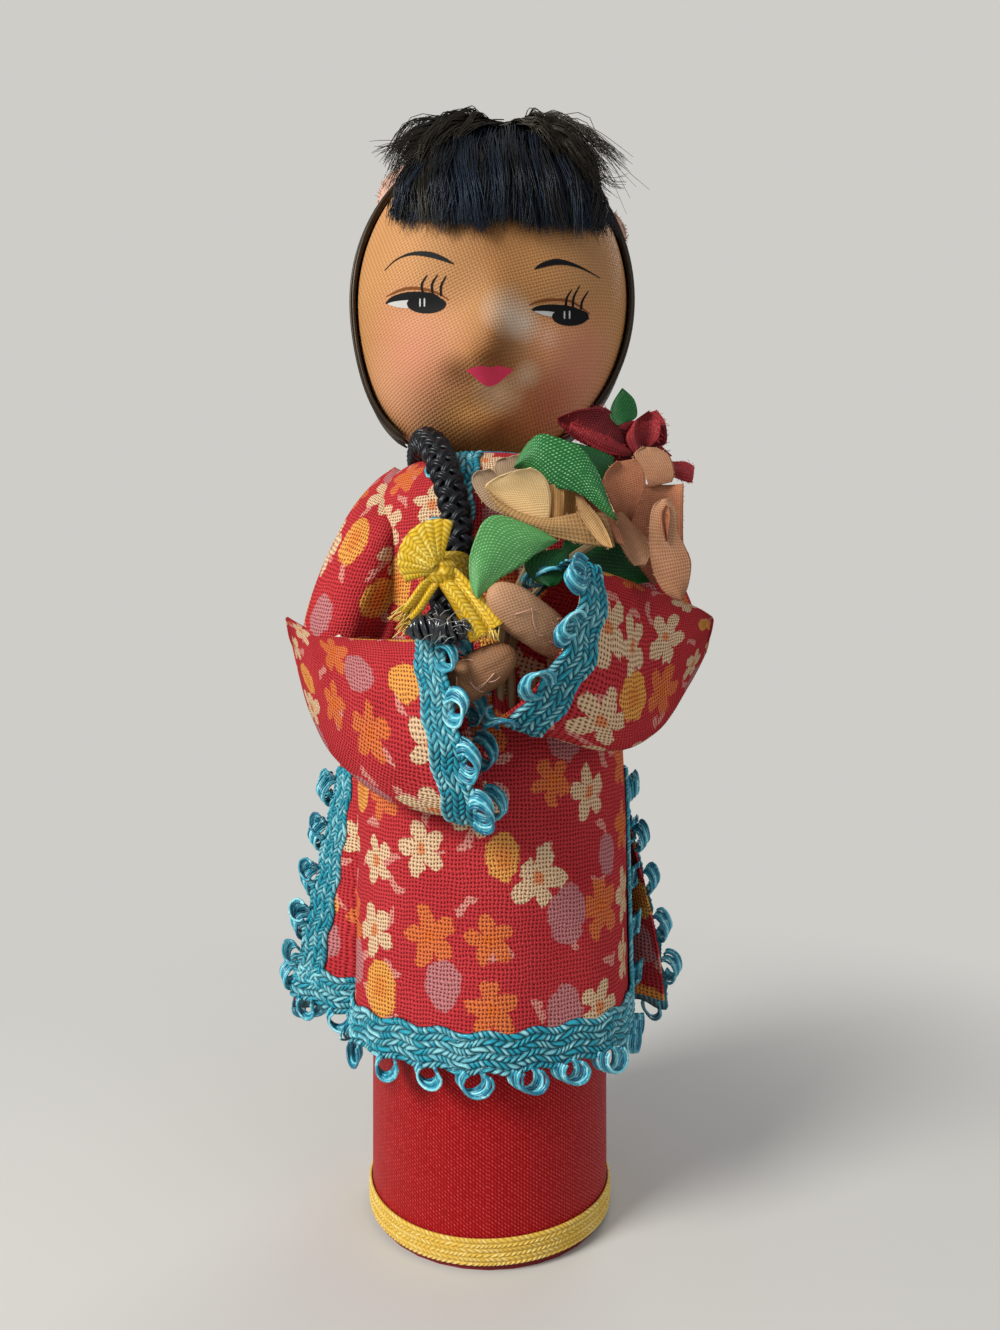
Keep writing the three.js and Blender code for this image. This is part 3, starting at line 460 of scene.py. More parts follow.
def printed_cotton(name):
    """Red cotton with small curved sprigs, over them five-lobed flowers and ovals, open between threads."""
    looks = new_looks(name)
    flat, u, v = looks.flat()
    drift = looks.speckle(flat, 0.12, 3)
    colour = looks.mix(drift, (0.47, 0.028, 0.038, 1), (0.65, 0.06, 0.068, 1))
    ragged = looks.take("Color", "TexNoise", {"Scale": 0.75, "Vector": flat})
    vector = looks.take(0, "VectorMath", {0: ragged, 1: (1.5, 1.5, 0), 2: flat}, operation="MULTIPLY_ADD")

    x, y, chance = motif_cells(looks, vector, SPRIG_SPACING, 0.8)
    turn = chance[1] * 6.28
    c, s = turn.of("COSINE"), turn.of("SINE")
    long = x * c + y * s
    bow = y * c - x * s - long * long * 0.22
    sprig = (1.0 - ((long / SPRIG_LONG) ** 2.0 + (bow / SPRIG_WIDE) ** 2.0)).sharpened(4)
    sprig = sprig * chance[0].of("GREATER_THAN", 0.5)
    colour = looks.mix(sprig * 0.8, colour, PINK)

    x, y, chance = motif_cells(looks, vector, FLOWER_SPACING, 0.55)
    kind = chance[0]
    oval = kind.of("GREATER_THAN", OVAL_FROM)
    x = x * (oval * 0.25 + 1.0)
    reach = (x * x + y * y).of("SQRT")
    around = y.of("ARCTAN2", x) * 2.5 + chance[1] * 6.28
    lobe = around.of("COSINE").of("ABSOLUTE") ** 0.85
    notch = (1.0 - lobe) * ((1.0 - oval) * 0.58)
    size = chance[2] * 1.1 + FLOWER_RADIUS - oval * 0.5
    inside = (size * (1.0 - notch) - reach).sharpened(4)
    petals = bands(looks, kind, [(0, CREAM), (ORANGE_FROM, ORANGE), (OVAL_FROM, YELLOW), (MAUVE_FROM, MAUVE)])
    petals = looks.mix(drift * 0.25, petals, PINK)
    ripe = (1.7 - reach).sharpened(1.2) * (oval * kind.of("LESS_THAN", MAUVE_FROM))
    petals = looks.mix(ripe * 0.45, petals, ORANGE)
    colour = looks.mix(inside * 0.94, colour, petals)
    heart = (HEART_RADIUS - reach).sharpened(3) * kind.of("LESS_THAN", OVAL_FROM)
    colour = looks.mix(heart * 0.75, colour, ORANGE)

    wobble = (looks.speckle(flat, 0.5) - 0.5) * 0.7
    height, gap = plain_weave(u + wobble, v + wobble, COTTON_PITCH, COTTON_PITCH)
    shaded = looks.mix(height, (0.46, 0.32, 0.3, 1), (1.1, 1.1, 1.08, 1))
    colour = looks.mix(1.0, colour, shaded, "MULTIPLY")
    colour = looks.mix((gap - 0.2).sharpened(4) * 0.85, colour, (0.12, 0.006, 0.006, 1))
    looks.emboss(height, 0.0003, 0.7)
    return looks.coat(colour, 0.9, 0.05)


cotton = printed_cotton("printed_cotton")
SEAM_REACH = 0.95 / 89
CREASE = 0.35
CREASE_TOP = 96
PANEL_FLAT_RADIUS, PANEL_FLAT_SHIFT, PANEL_FLAT_TALL = 18.5, 60, 74


def panel(name, first, last, node, flat):
    """A tunic panel between two angles, drawn to its neighbour at the side seams above the slits."""
    def angle_at(along):
        return first + (last - first) * (0.5 - 0.5 * math.cos(math.pi * along))

    def place(along, down):
        seamed = smooth((tunic_profile(down, 0)[1] - SLIT_TOP) / 4)
        middle = (first + last) / 2
        angle = middle + (angle_at(along) - middle) * (1 + SEAM_REACH * seamed)
        spot = tunic_point(angle, down, CLOTH_OUT)
        crease = noise.noise(Vector((spot.x * 0.09, spot.y * 0.09, spot.z * 0.05)))
        pull = CREASE * crease * smooth((CREASE_TOP - spot.z) / 12)
        return spot + Vector((spot.x, spot.y, 0)).normalized() * pull

    def laid_flat(along, down):
        return math.radians(angle_at(along)) * PANEL_FLAT_RADIUS + PANEL_FLAT_SHIFT, down * PANEL_FLAT_TALL

    made = bent_grid(name, 90, 60, place, laid_flat, cotton)
    dress(thicken(face_outwards(made, (0, 0, 60)), CLOTH), "torso", node, "cotton_print")


panel("tunic_front_panel", *FRONT_EDGES, "tunic_front", (0.066, 0.076))
panel("tunic_back_panel", *BACK_EDGES, "tunic_back", (0.067, 0.076))

# Trims: glossy turquoise flat braid with picot loops, sewn along the hem, the slits, the cuffs and the
# neckline. Rows of slanting stitches make the braid's flat band; loops of thread stand off one edge.
BRAID_WIDTH = 5.0
BRAID_ROWS = 6
BRAID_STEP = 0.13
BRAID_OUT = 0.62
BRAID_BASE = 0.2
BRAID_WAVE = 0.28
STITCH_PITCH = 0.86
STITCH_SLANT = 1.05
STITCH_PUFF = 0.36
STITCH_COLUMNS = 6
UNDERSIDE_COLUMNS = 3
PICOT_PITCH = 5.8
PICOT_THREAD = 0.17
PICOT_THREADS = 7
PICOT_HALF = 1.55
PICOT_TALL = 1.9
PICOT_STEPS = 16
THREAD_STREAK = 900


def thread_finish(name, colour, shade, gloss_and_painted_highlight, roughness):
    looks = new_looks(name)
    place = looks.place()
    patch = (looks.speckle(place, THREAD_STREAK, 3) - 0.3).sharpened(2.4)
    # Painted highlight: random sparkles of the paler third colour mixed into the threads.
    pale = (looks.speckle(place, THREAD_STREAK * 2.3) - 0.56).sharpened(5)
    looks.emboss(patch, 0.0001, 0.4)
    return looks.coat(looks.mix(pale, looks.mix(patch, shade, colour), gloss_and_painted_highlight), roughness, 0.7)


def thread_curves(name, lines, radius, material, resolution=1):
    """Round threads along lines of (point in mm, share of the radius)."""
    data = bpy.data.curves.new(name, "CURVE")
    data.dimensions = "3D"
    data.bevel_depth = radius * MM
    data.bevel_resolution = resolution
    data.use_fill_caps = True
    for line in lines:
        spline = data.splines.new("POLY")
        spline.points.add(len(line) - 1)
        for spot, (place, share) in zip(spline.points, line):
            spot.co = (place[0] * MM, place[1] * MM, place[2] * MM, 1)
            spot.radius = share
        spline.use_smooth = True
    source = bpy.data.objects.new(name + "_line", data)
    scene.collection.objects.link(source)
    drawn = bpy.data.meshes.new_from_object(source.evaluated_get(bpy.context.evaluated_depsgraph_get()))
    drawn.name = name
    drawn.materials.clear()
    bpy.data.objects.remove(source)
    bpy.data.curves.remove(data)
    for face in drawn.polygons:
        face.use_smooth = True
    return add_piece(name, drawn, material)


def even_frames(place, step):
    """Point, side and normal every step mm along a line given by its share, and the line's length."""
    count = 400
    rough = [place(i / count)[0] for i in range(count + 1)]
    run = [0]
    for a, b in zip(rough, rough[1:]):
        run.append(run[-1] + (b - a).length)
    steps = max(4, round(run[-1] / step))
    frames = []
    for i in range(steps + 1):
        want = run[-1] * i / steps
        k = min(count - 1, max(0, sum(1 for r in run if r <= want) - 1))
        part = (want - run[k]) / max(1e-9, run[k + 1] - run[k])
        frames.append(place((k + part) / count))
    return frames, run[-1]


def merged(name, pieces):
    """One piece out of several, each face keeping its own material."""
    shape = bmesh.new()
    finishes = []
    for piece in pieces:
        mesh = piece.data
        finish = mesh.materials[0]
        if finish not in finishes:
            finishes.append(finish)
        for face in mesh.polygons:
            face.material_index = finishes.index(finish)
        shape.from_mesh(mesh)
        bpy.data.objects.remove(piece)
        bpy.data.meshes.remove(mesh)
    mesh = bpy.data.meshes.new(name)
    shape.to_mesh(mesh)
    shape.free()
    made = add_piece(name, mesh, finishes[0])
    for finish in finishes[1:]:
        mesh.materials.append(finish)
    return made


def turned_out(piece):
    """Points a closed form's faces outwards."""
    shape = bmesh.new()
    shape.from_mesh(piece.data)
    bmesh.ops.recalc_face_normals(shape, faces=shape.faces)
    shape.to_mesh(piece.data)
    shape.free()
    return piece


def stitched_finish(name, colour, gap_shade_and_dark_stitch, gloss_and_painted_highlight, sheen):
    """Flat filament stitches: u counts the stitches along a row, v the rows."""
    looks = new_looks(name)
    flat, u, v = looks.flat()
    patch = looks.speckle(looks.place(), 420)
    rounded = (v.of("FRACT") * math.pi).of("SINE")
    bulge = (u.of("FRACT") * math.pi).of("SINE") * rounded ** 0.5
    fibre = (u * (2 * math.pi * 5) + patch * 9).of("SINE") * 0.5 + 0.5
    # Painted shade: the gaps between the stitches darken towards the second colour, and some whole stitches
    # are darker at random.
    tone = looks.mix((bulge - 0.16).sharpened(1.7), gap_shade_and_dark_stitch, colour)
    each = looks.take(0, "CombineXYZ", {0: u.of("FLOOR"), 1: v.of("FLOOR")})
    luck = looks.take("Value", "TexWhiteNoise", {"Vector": each})
    tone = looks.mix(luck * 0.3, tone, gap_shade_and_dark_stitch)
    # Painted highlight: paler colour on the stitches' crests in random sparkles, brightest where they bulge
    # most.
    pale = (patch * 0.6 + luck * 0.4 - 0.44).sharpened(6) * bulge ** 1.6 * (fibre * 0.6 + 0.4)
    looks.emboss(fibre, 0.0001, 0.5)
    return looks.coat(looks.mix(pale, tone, gloss_and_painted_highlight), 0.27, 0.8, sheen)


def braid_band(name, frames, length, width, seed, material, rows, pitch, puff, scalloped=True):
    """The braid's band: rows of stitches slanting to and fro, flat underneath, closed at both ends."""
    chance = random.Random(seed)
    slack = [(chance.uniform(0.16, 0.36), chance.uniform(0.4, 1.9), chance.uniform(0, 6)) for _ in range(4)]
    face_columns = STITCH_COLUMNS * rows
    columns = face_columns + UNDERSIDE_COLUMNS
    last = len(frames) - 1

    def stitch(share, q):
        s = share * length
        row = min(rows - 1, int(q + 1e-6))
        part = min(1, max(0, q - row))
        loose = sum(amount * math.sin(pace * s + start + 1.7 * row) for amount, pace, start in slack)
        way = 1 if row % 2 else -1
        return s / pitch + way * STITCH_SLANT * (part - 0.5) + 0.37 * row + loose, part

    def place(around, along):
        column = around * columns
        spot, side, normal = frames[min(last, round(along * last))]
        wavy = BRAID_WAVE * math.sin(2 * math.pi * along * length / PICOT_PITCH) if scalloped else 0
        if column <= face_columns + 0.01:
            q = column / STITCH_COLUMNS
            phase, part = stitch(along, q)
            share = 2 * q / rows - 1
            bulge = math.sin(math.pi * (phase % 1)) ** 0.7 * math.sin(math.pi * part) ** 0.5
            lift = (BRAID_BASE + puff * bulge) * (1 - abs(share) ** 12)
            ragged = 0.16 * bulge * share ** 5
        else:
            share = 1 - 2 * (column - face_columns) / UNDERSIDE_COLUMNS
            lift = ragged = 0
        closed = 0 if min(along, 1 - along) < 1e-6 else 1
        return spot + side * (share * width / 2 * closed + wavy + ragged * closed) + normal * lift * closed

    def flat(around, along):
        row = around * columns / STITCH_COLUMNS
        return stitch(along, min(rows, row))[0], row

    return turned_out(bent_grid(name, columns, last, place, flat, material, wrap=True))


def loop_lines(frames, length, width, seed):
    """The threads of the loops along the braid's outer edge."""
    chance = random.Random(seed + 50)
    last = len(frames) - 1
    lines = []
    count = max(1, int(length / PICOT_PITCH))
    for loop in range(count):
        middle = (loop + 0.5) / count * length + chance.uniform(-0.4, 0.4)
        tall = chance.uniform(0.85, 1.15)
        lean = chance.uniform(-0.6, 0.6)
        for thread in range(PICOT_THREADS):
            shift = thread - (PICOT_THREADS - 1) / 2
            half = PICOT_HALF + chance.uniform(-0.1, 0.1)
            high = PICOT_TALL * tall + chance.uniform(-0.1, 0.1)
            line = []
            for k in range(PICOT_STEPS + 1):
                turn = math.radians(-45 + 270 * k / PICOT_STEPS)
                s = middle + half * math.cos(turn) + lean * math.sin(turn) * 0.6 + 0.2 * shift
                spot, side, normal = frames[min(last, max(0, round(s / length * last)))]
                out = width / 2 - 0.1 + high * (0.4 + math.sin(turn)) * 0.75 + 0.05 * shift
                up = 0.75 + 0.23 * shift + 0.2 * math.cos(turn)
                line.append((spot + side * out + normal * up, 1))
            lines.append(line)
    return lines


# Its second colour is painted shade in the gaps between stitches, its third a painted highlight on their
# crests.
braid_blue = stitched_finish("braid_blue", (0.016, 0.36, 0.49, 1), (0.001, 0.042, 0.07, 1),
                             (0.52, 0.96, 0.99, 1), (0.45, 0.95, 1, 1))
# The loops' threads take turns among three copies of one blue: a paler one, painted highlight along the
# threads, and a darker one, painted shade.
picot_blue = thread_finish("picot_blue", (0.05, 0.42, 0.54, 1), (0.012, 0.2, 0.3, 1), (0.36, 0.8, 0.84, 1),
                           0.3)
picot_painted_highlight = thread_finish("picot_painted_highlight", (0.32, 0.78, 0.86, 1), (0.1, 0.5, 0.6, 1), (0.7, 0.96, 0.98, 1),
                           0.26)
picot_painted_shade = thread_finish("picot_painted_shade", (0.012, 0.2, 0.32, 1), (0.004, 0.1, 0.18, 1), (0.06, 0.42, 0.54, 1),
                           0.3)
PICOT_LIT_AND_SHADED = (picot_blue, picot_painted_highlight, picot_blue, picot_painted_shade)


def braid(name, place, node, width, seed):
    frames, length = even_frames(place, BRAID_STEP)
    rows = max(2, round(BRAID_ROWS * width / BRAID_WIDTH))
    parts = [braid_band(name, frames, length, width, seed, braid_blue, rows, STITCH_PITCH, STITCH_PUFF)]
    lines = loop_lines(frames, length, width, seed)
    for start, tone in enumerate(PICOT_LIT_AND_SHADED):
        parts.append(thread_curves("loops", lines[start::len(PICOT_LIT_AND_SHADED)], PICOT_THREAD, tone))
    dress(merged(name, parts), "torso", node, "braid_blue")


def tunic_frame(angle, down, spread=0.5, up=0):
    """Point just outside the cloth, with the directions out of it, down it and round it."""
    def near(aside, below):
        return tunic_point(angle + aside, down + below, BRAID_OUT)

    spot = near(0, 0)
    round_way = (near(spread, 0) - near(-spread, 0)).normalized()
    fall = (near(0, 0.004) - spot).normalized()
    normal = round_way.cross(fall).normalized()
    if normal.dot(Vector((spot.x, spot.y, up))) < 0:
        normal = -normal
    return spot, normal, fall, round_way


HEM_BRAID_Z = 28.2
SLIT_BRAID_FOOT = 28.0
SLITS = (("front_left", FRONT_EDGES[0], -1, 4.8, 4), ("front_right", FRONT_EDGES[1], 1, 3.0, 5),
         ("back_right", BACK_EDGES[0], -1, 4.0, 6), ("back_left", BACK_EDGES[1], 1, 4.0, 7))


def hem_line(first, last):
    def place(share):
        spot, normal, fall, round_way = tunic_frame(first + (last - first) * share, fall_at(HEM_BRAID_Z))
        return spot, fall, normal
    return place


def slit_line(edge_angle, way, inset):
    """Runs up a slit, its middle a fixed distance in from the panel's edge along the cloth."""
    def place(share):
        down = fall_at(SLIT_BRAID_FOOT + (SLIT_TOP - SLIT_BRAID_FOOT) * share)
        edge = tunic_point(edge_angle, down, BRAID_OUT)
        angle = edge_angle
        while (tunic_point(angle, down, BRAID_OUT) - edge).length < inset:
            angle -= way * 0.2
        spot, normal, fall, round_way = tunic_frame(angle, down)
        return spot, round_way * way, normal
    return place


braid("hem_braid_front", hem_line(*FRONT_EDGES), "hem_trim_front", BRAID_WIDTH, 2)
braid("hem_braid_back", hem_line(*BACK_EDGES), "hem_trim_back", BRAID_WIDTH, 3)
for corner, edge_angle, way, width, seed in SLITS:
    braid(f"slit_braid_{corner}", slit_line(edge_angle, way, width / 2), f"slit_trim_{corner}", width, seed)

NECKLINE_ANGLE = -13
NECKLINE_FROM, NECKLINE_DROP = 0.06, 0.24
NECKLINE_WIDTH = 4.4


def neckline_place(share):
    down = NECKLINE_FROM + NECKLINE_DROP * share
    spot, normal, fall, round_way = tunic_frame(NECKLINE_ANGLE, down, 1, 20)
    return spot, -round_way, normal


braid("neckline_braid", neckline_place, "neckline_trim", NECKLINE_WIDTH, 8)

# Foot ribbon: a narrow yellow braid of the same kind without loops, glued round the foot over the satin's
# lower edge, one end lapped over the other at the back.
FOOT_RIBBON_RADIUS = 16.3
FOOT_RIBBON_Z = 2.5
FOOT_RIBBON_WIDTH = 3.3
FOOT_RIBBON_ROWS = 6
FOOT_RIBBON_STITCH = 0.66
FOOT_RIBBON_PUFF = 0.2
FOOT_RIBBON_LAP = 0.3
# Its second colour is painted shade in the gaps between stitches, its third a painted highlight on their
# crests.
ribbon_yellow = stitched_finish("ribbon_yellow", (0.86, 0.57, 0.1, 1), (0.66, 0.38, 0.045, 1),
                                (1, 0.84, 0.34, 1), (1, 0.85, 0.4, 1))


def foot_place(share):
    turn = math.pi + 2.03 * math.pi * share
    out = Vector((math.sin(turn), -math.cos(turn), 0))
    z = FOOT_RIBBON_Z + 0.1 * math.sin(3 * turn)
    lap = FOOT_RIBBON_LAP * smooth((share - 0.96) / 0.02)
    return out * (FOOT_RIBBON_RADIUS + lap) + Vector((0, 0, z)), Vector((0, 0, 1)), out


foot_frames, foot_length = even_frames(foot_place, BRAID_STEP)
ribbon = braid_band("foot_ribbon", foot_frames, foot_length, FOOT_RIBBON_WIDTH, 9, ribbon_yellow,
                    FOOT_RIBBON_ROWS, FOOT_RIBBON_STITCH, FOOT_RIBBON_PUFF, False)
dress(ribbon, "torso", "base_ribbon", "ribbon_yellow")

# Sleeves: wide tubes of the same printed cotton, folded at the elbow so that the forearm lies in front of
# the upper arm with a pinched corner outside. Braid runs round each open cuff, its loops over the opening.
UPPER_GIRTHS = [((2.6, 1.4), (4.0, 0.6)), ((4.4, 1.6), (5.0, 1.2)), ((5.6, 1.4), (5.8, 1.6)),
                ((6.6, 0.6), (5.2, 1)), ((6.2, 0.4), (4.0, 0.4)), ((4.4, 0.4), (2.6, 0.4))]
LEFT_UPPER = [(-10.4, -3.0, 99.6), (-11.4, -4.4, 96.8), (-13.2, -7.4, 92.0), (-15.4, -10.6, 84.4),
              (-17.4, -12.0, 77.4), (-17.8, -12.4, 73.0)]
RIGHT_UPPER = [(10.4, -3.0, 99.6), (11.6, -4.4, 96.8), (14.2, -7.4, 92.0), (17.6, -10.6, 85.0),
               (20.0, -12.0, 79.0), (20.4, -12.4, 75.0)]
LEFT_FORE = [((-25.8, -10.6, 80.2), (-24.4, -10.8, 73.0), (0.3, -0.9, 0)),
             ((-22.6, -13.0, 78.6), (-22.4, -12.4, 67.6), (1.2, -2.8, 0)),
             ((-18.0, -16.4, 77.4), (-18.8, -15.2, 62.4), (1.6, -3.8, 0)),
             ((-11.4, -20.8, 77.0), (-11.0, -20.6, 57.8), (0.8, -3.9, 0)),
             ((-5.2, -26.0, 76.9), (0.0, -26.0, 56.3), (-0.6, -3.6, 0))]
RIGHT_FORE = [((28.6, -10.6, 80.2), (27.8, -10.8, 75.6), (0.3, 0.8, 0)),
              ((26.4, -12.4, 81.2), (25.2, -12.6, 71.4), (1.0, 2.6, 0)),
              ((21.2, -16.0, 82.8), (20.6, -15.8, 65.8), (1.6, 3.6, 0)),
              ((14.8, -21.6, 84.4), (13.6, -20.6, 63.9), (-0.6, 3.6, 0)),
              ((9.6, -26.6, 85.2), (1.2, -26.6, 68.0), (-3.2, 3.4, 0))]
GROOVE_AT = 0.67
GROOVE_DEEP = 2.6
SLEEVE_CREASE = 0.8
SLEEVE_GIRTH = 46
SLEEVE_LONG = 34
FORE_PRINT_SHIFT = 47
CUFF_BRAID_AT = 0.93
CUFF_BRAID_OUT = 0.12


def drawn_through(spots, share):
    """A smooth line through spots, by share of their number."""
    last = len(spots) - 1
    step = min(last - 1, int(share * last))
    t = share * last - step
    a, b, c, d = (Vector(spots[min(last, max(0, step + k))]) for k in (-1, 0, 1, 2))
    return 0.5 * (2 * b + (c - a) * t + (2 * a - 5 * b + 4 * c - d) * t * t
                  + (3 * b - a - 3 * c + d) * t ** 3)


def tube_place(sections, along, around, groove=0.0):
    centre, wide, deep = (drawn_through([s[k] for s in sections], along) for k in range(3))
    turn = 2 * math.pi * around
    bulge = math.sin(turn) * abs(math.sin(turn)) ** 0.45
    spot = centre + wide * math.cos(turn) + deep * bulge
    soft = noise.noise(spot * 0.22) * 0.7 + noise.noise(spot * 0.5 + Vector((9, 2, 5))) * 0.3
    fold = math.sin(along * 21 + 2.5 * math.cos(turn)) * 0.22 * smooth(1 - abs(along - 0.4) / 0.4)
    dent = groove * math.exp(-((around - GROOVE_AT) / 0.035) ** 2)
    dent *= smooth(along / 0.15) * smooth((1 - along) / 0.15)
    return spot + deep.normalized() * (bulge * (soft + fold) * SLEEVE_CREASE + dent)


def sleeve(side, way, upper, fore, print_shift, seed):
    """A sleeve: its upper arm by its middle line, its forearm by its upper and its lower fold."""
    upper = [(spot, (way * wide, 0, tilt), (0, deep, rise))
             for spot, ((wide, tilt), (deep, rise)) in zip(upper, UPPER_GIRTHS)]
    fore = [((Vector(top) + Vector(low)) / 2, (Vector(top) - Vector(low)) / 2, deep)
            for top, low, deep in fore]
    tubes = []
    for sections, shift, groove in ((upper, 0, GROOVE_DEEP), (fore, FORE_PRINT_SHIFT, 0)):
        def place(along, around):
            return tube_place(sections, along, around, groove)

        def laid_flat(along, around):
            return around * SLEEVE_GIRTH + shift + print_shift, along * SLEEVE_LONG + shift

        tubes.append(turned_out(bent_grid("tube", 40, 48, place, laid_flat, cotton, wrap=True)))
    cloth = thicken(merged(f"sleeve_cloth_{side}", tubes), CLOTH, -1)
    dress(cloth, "torso", f"sleeve_{side}", "cotton_print")

    def cuff_place(share):
        def near(ahead, aside):
            return tube_place(fore, CUFF_BRAID_AT + ahead, share + aside)

        spot = near(0, 0)
        forward = (near(0.06, 0) - near(-0.06, 0)).normalized()
        normal = (near(0, 0.01) - near(0, -0.01)).cross(forward).normalized()
        middle = drawn_through([s[0] for s in fore], CUFF_BRAID_AT)
        if normal.dot(spot - middle) < 0:
            normal = -normal
        return spot + normal * CUFF_BRAID_OUT, forward, normal

    braid(f"cuff_braid_{side}", cuff_place, f"cuff_trim_{side}", BRAID_WIDTH, seed)


sleeve("left", -1, LEFT_UPPER, LEFT_FORE, 0, 11)
sleeve("right", 1, RIGHT_UPPER, RIGHT_FORE, 131, 12)

# Face: tan silk drawn smooth over a moulded mask, with a raised nose and puffed cheeks. The cheeks are
# blushed pink. Painted shade darkens the nose, a hollow beside the mouth and the forehead under the fringe,
# and painted highlights lighten the silk beside the nose and round the lips.
HEAD_FOOT = 102.1
HEAD_CENTRE = 123.5
HEAD_MIDDLE = (0, 0, HEAD_CENTRE)
HEAD_A = 18.6
HEAD_B = 16.6
HEAD_C = 21.4
HEAD_ROLL = math.radians(2)
HEAD_SHIFT = -0.4
LEFT_JOWL = 0.36
FACE_NEAR_Y = -16.0
MASK_FROM, MASK_ROUND = -92, 184
MASK_LOW, MASK_TALL = -89, 178
MASK_CLOTH = 0.5
FACE_WEAVE = 0.42
NOSE_X, NOSE_Z = 0.1, 112.2
NOSE_OUT, NOSE_WIDE = 3.4, 3.5
NOSE_ABOVE, NOSE_BELOW = 4.6, 2.2
FACE_HUMPS = {
    "bridge": (0.7, 0.6, 118.5, 2.6, 4.5), "lips": (0.35, 0, 109.1, 2.0, 1.0),
    "chin": (0.45, 0.4, 104.8, 4.4, 2.0),
    "left cheek": (1.0, -7.8, 110.2, 4.4, 4.0), "right cheek": (1.0, 9.0, 110.2, 4.4, 4.0),
    "left socket": (-0.55, -7.4, 118.4, 4.8, 2.4), "right socket": (-0.55, 9.4, 118.0, 4.8, 2.4),
    "fold over the chin": (-0.2, 0.4, 107.0, 4.8, 1.3)}


def leaned(spot):
    x, y, z = spot
    z -= HEAD_FOOT
    return Vector((HEAD_SHIFT + x * math.cos(HEAD_ROLL) + z * math.sin(HEAD_ROLL), y,
                   HEAD_FOOT + z * math.cos(HEAD_ROLL) - x * math.sin(HEAD_ROLL)))


def upright(spot):
    x, y, z = spot
    x -= HEAD_SHIFT
    z -= HEAD_FOOT
    return Vector((x * math.cos(HEAD_ROLL) - z * math.sin(HEAD_ROLL), y,
                   HEAD_FOOT + z * math.cos(HEAD_ROLL) + x * math.sin(HEAD_ROLL)))


def hump(x, z, middle_x, middle_z, wide, tall):
    return math.exp(-((x - middle_x) / wide) ** 2 - ((z - middle_z) / tall) ** 2)


def face_relief(x, z):
    nose = NOSE_OUT * hump(x, z, NOSE_X, NOSE_Z, NOSE_WIDE, NOSE_ABOVE if z > NOSE_Z else NOSE_BELOW)
    return nose + sum(out * hump(x, z, *form) for out, *form in FACE_HUMPS.values())


def head_spot(lon, lat, lift=0.0, relief=True):
    """Point on the head, the longitude from the face's middle towards +X, in degrees."""
    a, b = math.radians(lon), math.radians(lat)
    fuller = LEFT_JOWL * max(0, -math.sin(b)) ** 3 * max(0, -math.sin(a))
    x = (HEAD_A + lift) * math.sin(a) * math.cos(b) * (1 + fuller)
    y = -(HEAD_B + lift) * math.cos(a) * math.cos(b)
    z = HEAD_CENTRE + (HEAD_C + lift) * math.sin(b)
    if relief and y < 0:
        y -= face_relief(x, z) * smooth(-y / 6)
    return leaned((x, y, z))


def face_front(x, z):
    inside = max(0.0, 1 - (x / HEAD_A) ** 2 - ((z - HEAD_CENTRE) / HEAD_C) ** 2)
    y = -HEAD_B * math.sqrt(inside)
    return y - face_relief(x, z) * smooth(-y / 6)


def at_depth(px, py, y):
    """The point at a depth Y that the camera sees at a point of its picture."""
    per_point = (y - CAMERA_Y) / PICTURE_FOCUS
    return Vector((CAMERA_X + (px - PICTURE_WIDE / 2) * per_point, y,
                   CAMERA_Z - (py - PICTURE_TALL / 2) * per_point))


def seen_on_face(px, py, lift):
    """The point of the face that the camera sees at a point of its picture."""
    y = FACE_NEAR_Y
    for _ in range(8):
        local = upright(at_depth(px, py, y))
        y = face_front(local.x, local.z) - lift
    return leaned((local.x, y, local.z))


def silk_weave(name, colour, shade, pitch):
    """The looks of fine silk woven on the bias, with its places and its colour."""
    looks = new_looks(name)
    place = looks.place()
    x, y, z = looks.split(place)
    height, gap = plain_weave(x * 0.94 + z * 0.34, z * 0.94 - x * 0.34, pitch * MM, pitch * 0.9 * MM)
    looks.emboss(height, 0.0001, 0.8)
    return looks, place, looks.mix(height * 0.85 + looks.speckle(place, 160, 4) * 0.2, shade, colour)


def rouge_and_painted_light(looks, place, colour, spot, reach, tint, amount):
    """Lays a soft round patch of a tint over a colour."""
    away = looks.take("Value", "VectorMath", {0: place, 1: spot * MM}, operation="DISTANCE")
    near = (1.0 - away / (reach * MM)).of("MAXIMUM", 0.0).of("SMOOTH_MIN", 1.0, 0.1)
    return looks.mix(near * amount, colour, tint)


SILK_GLOSS = (0.5, 0.25)
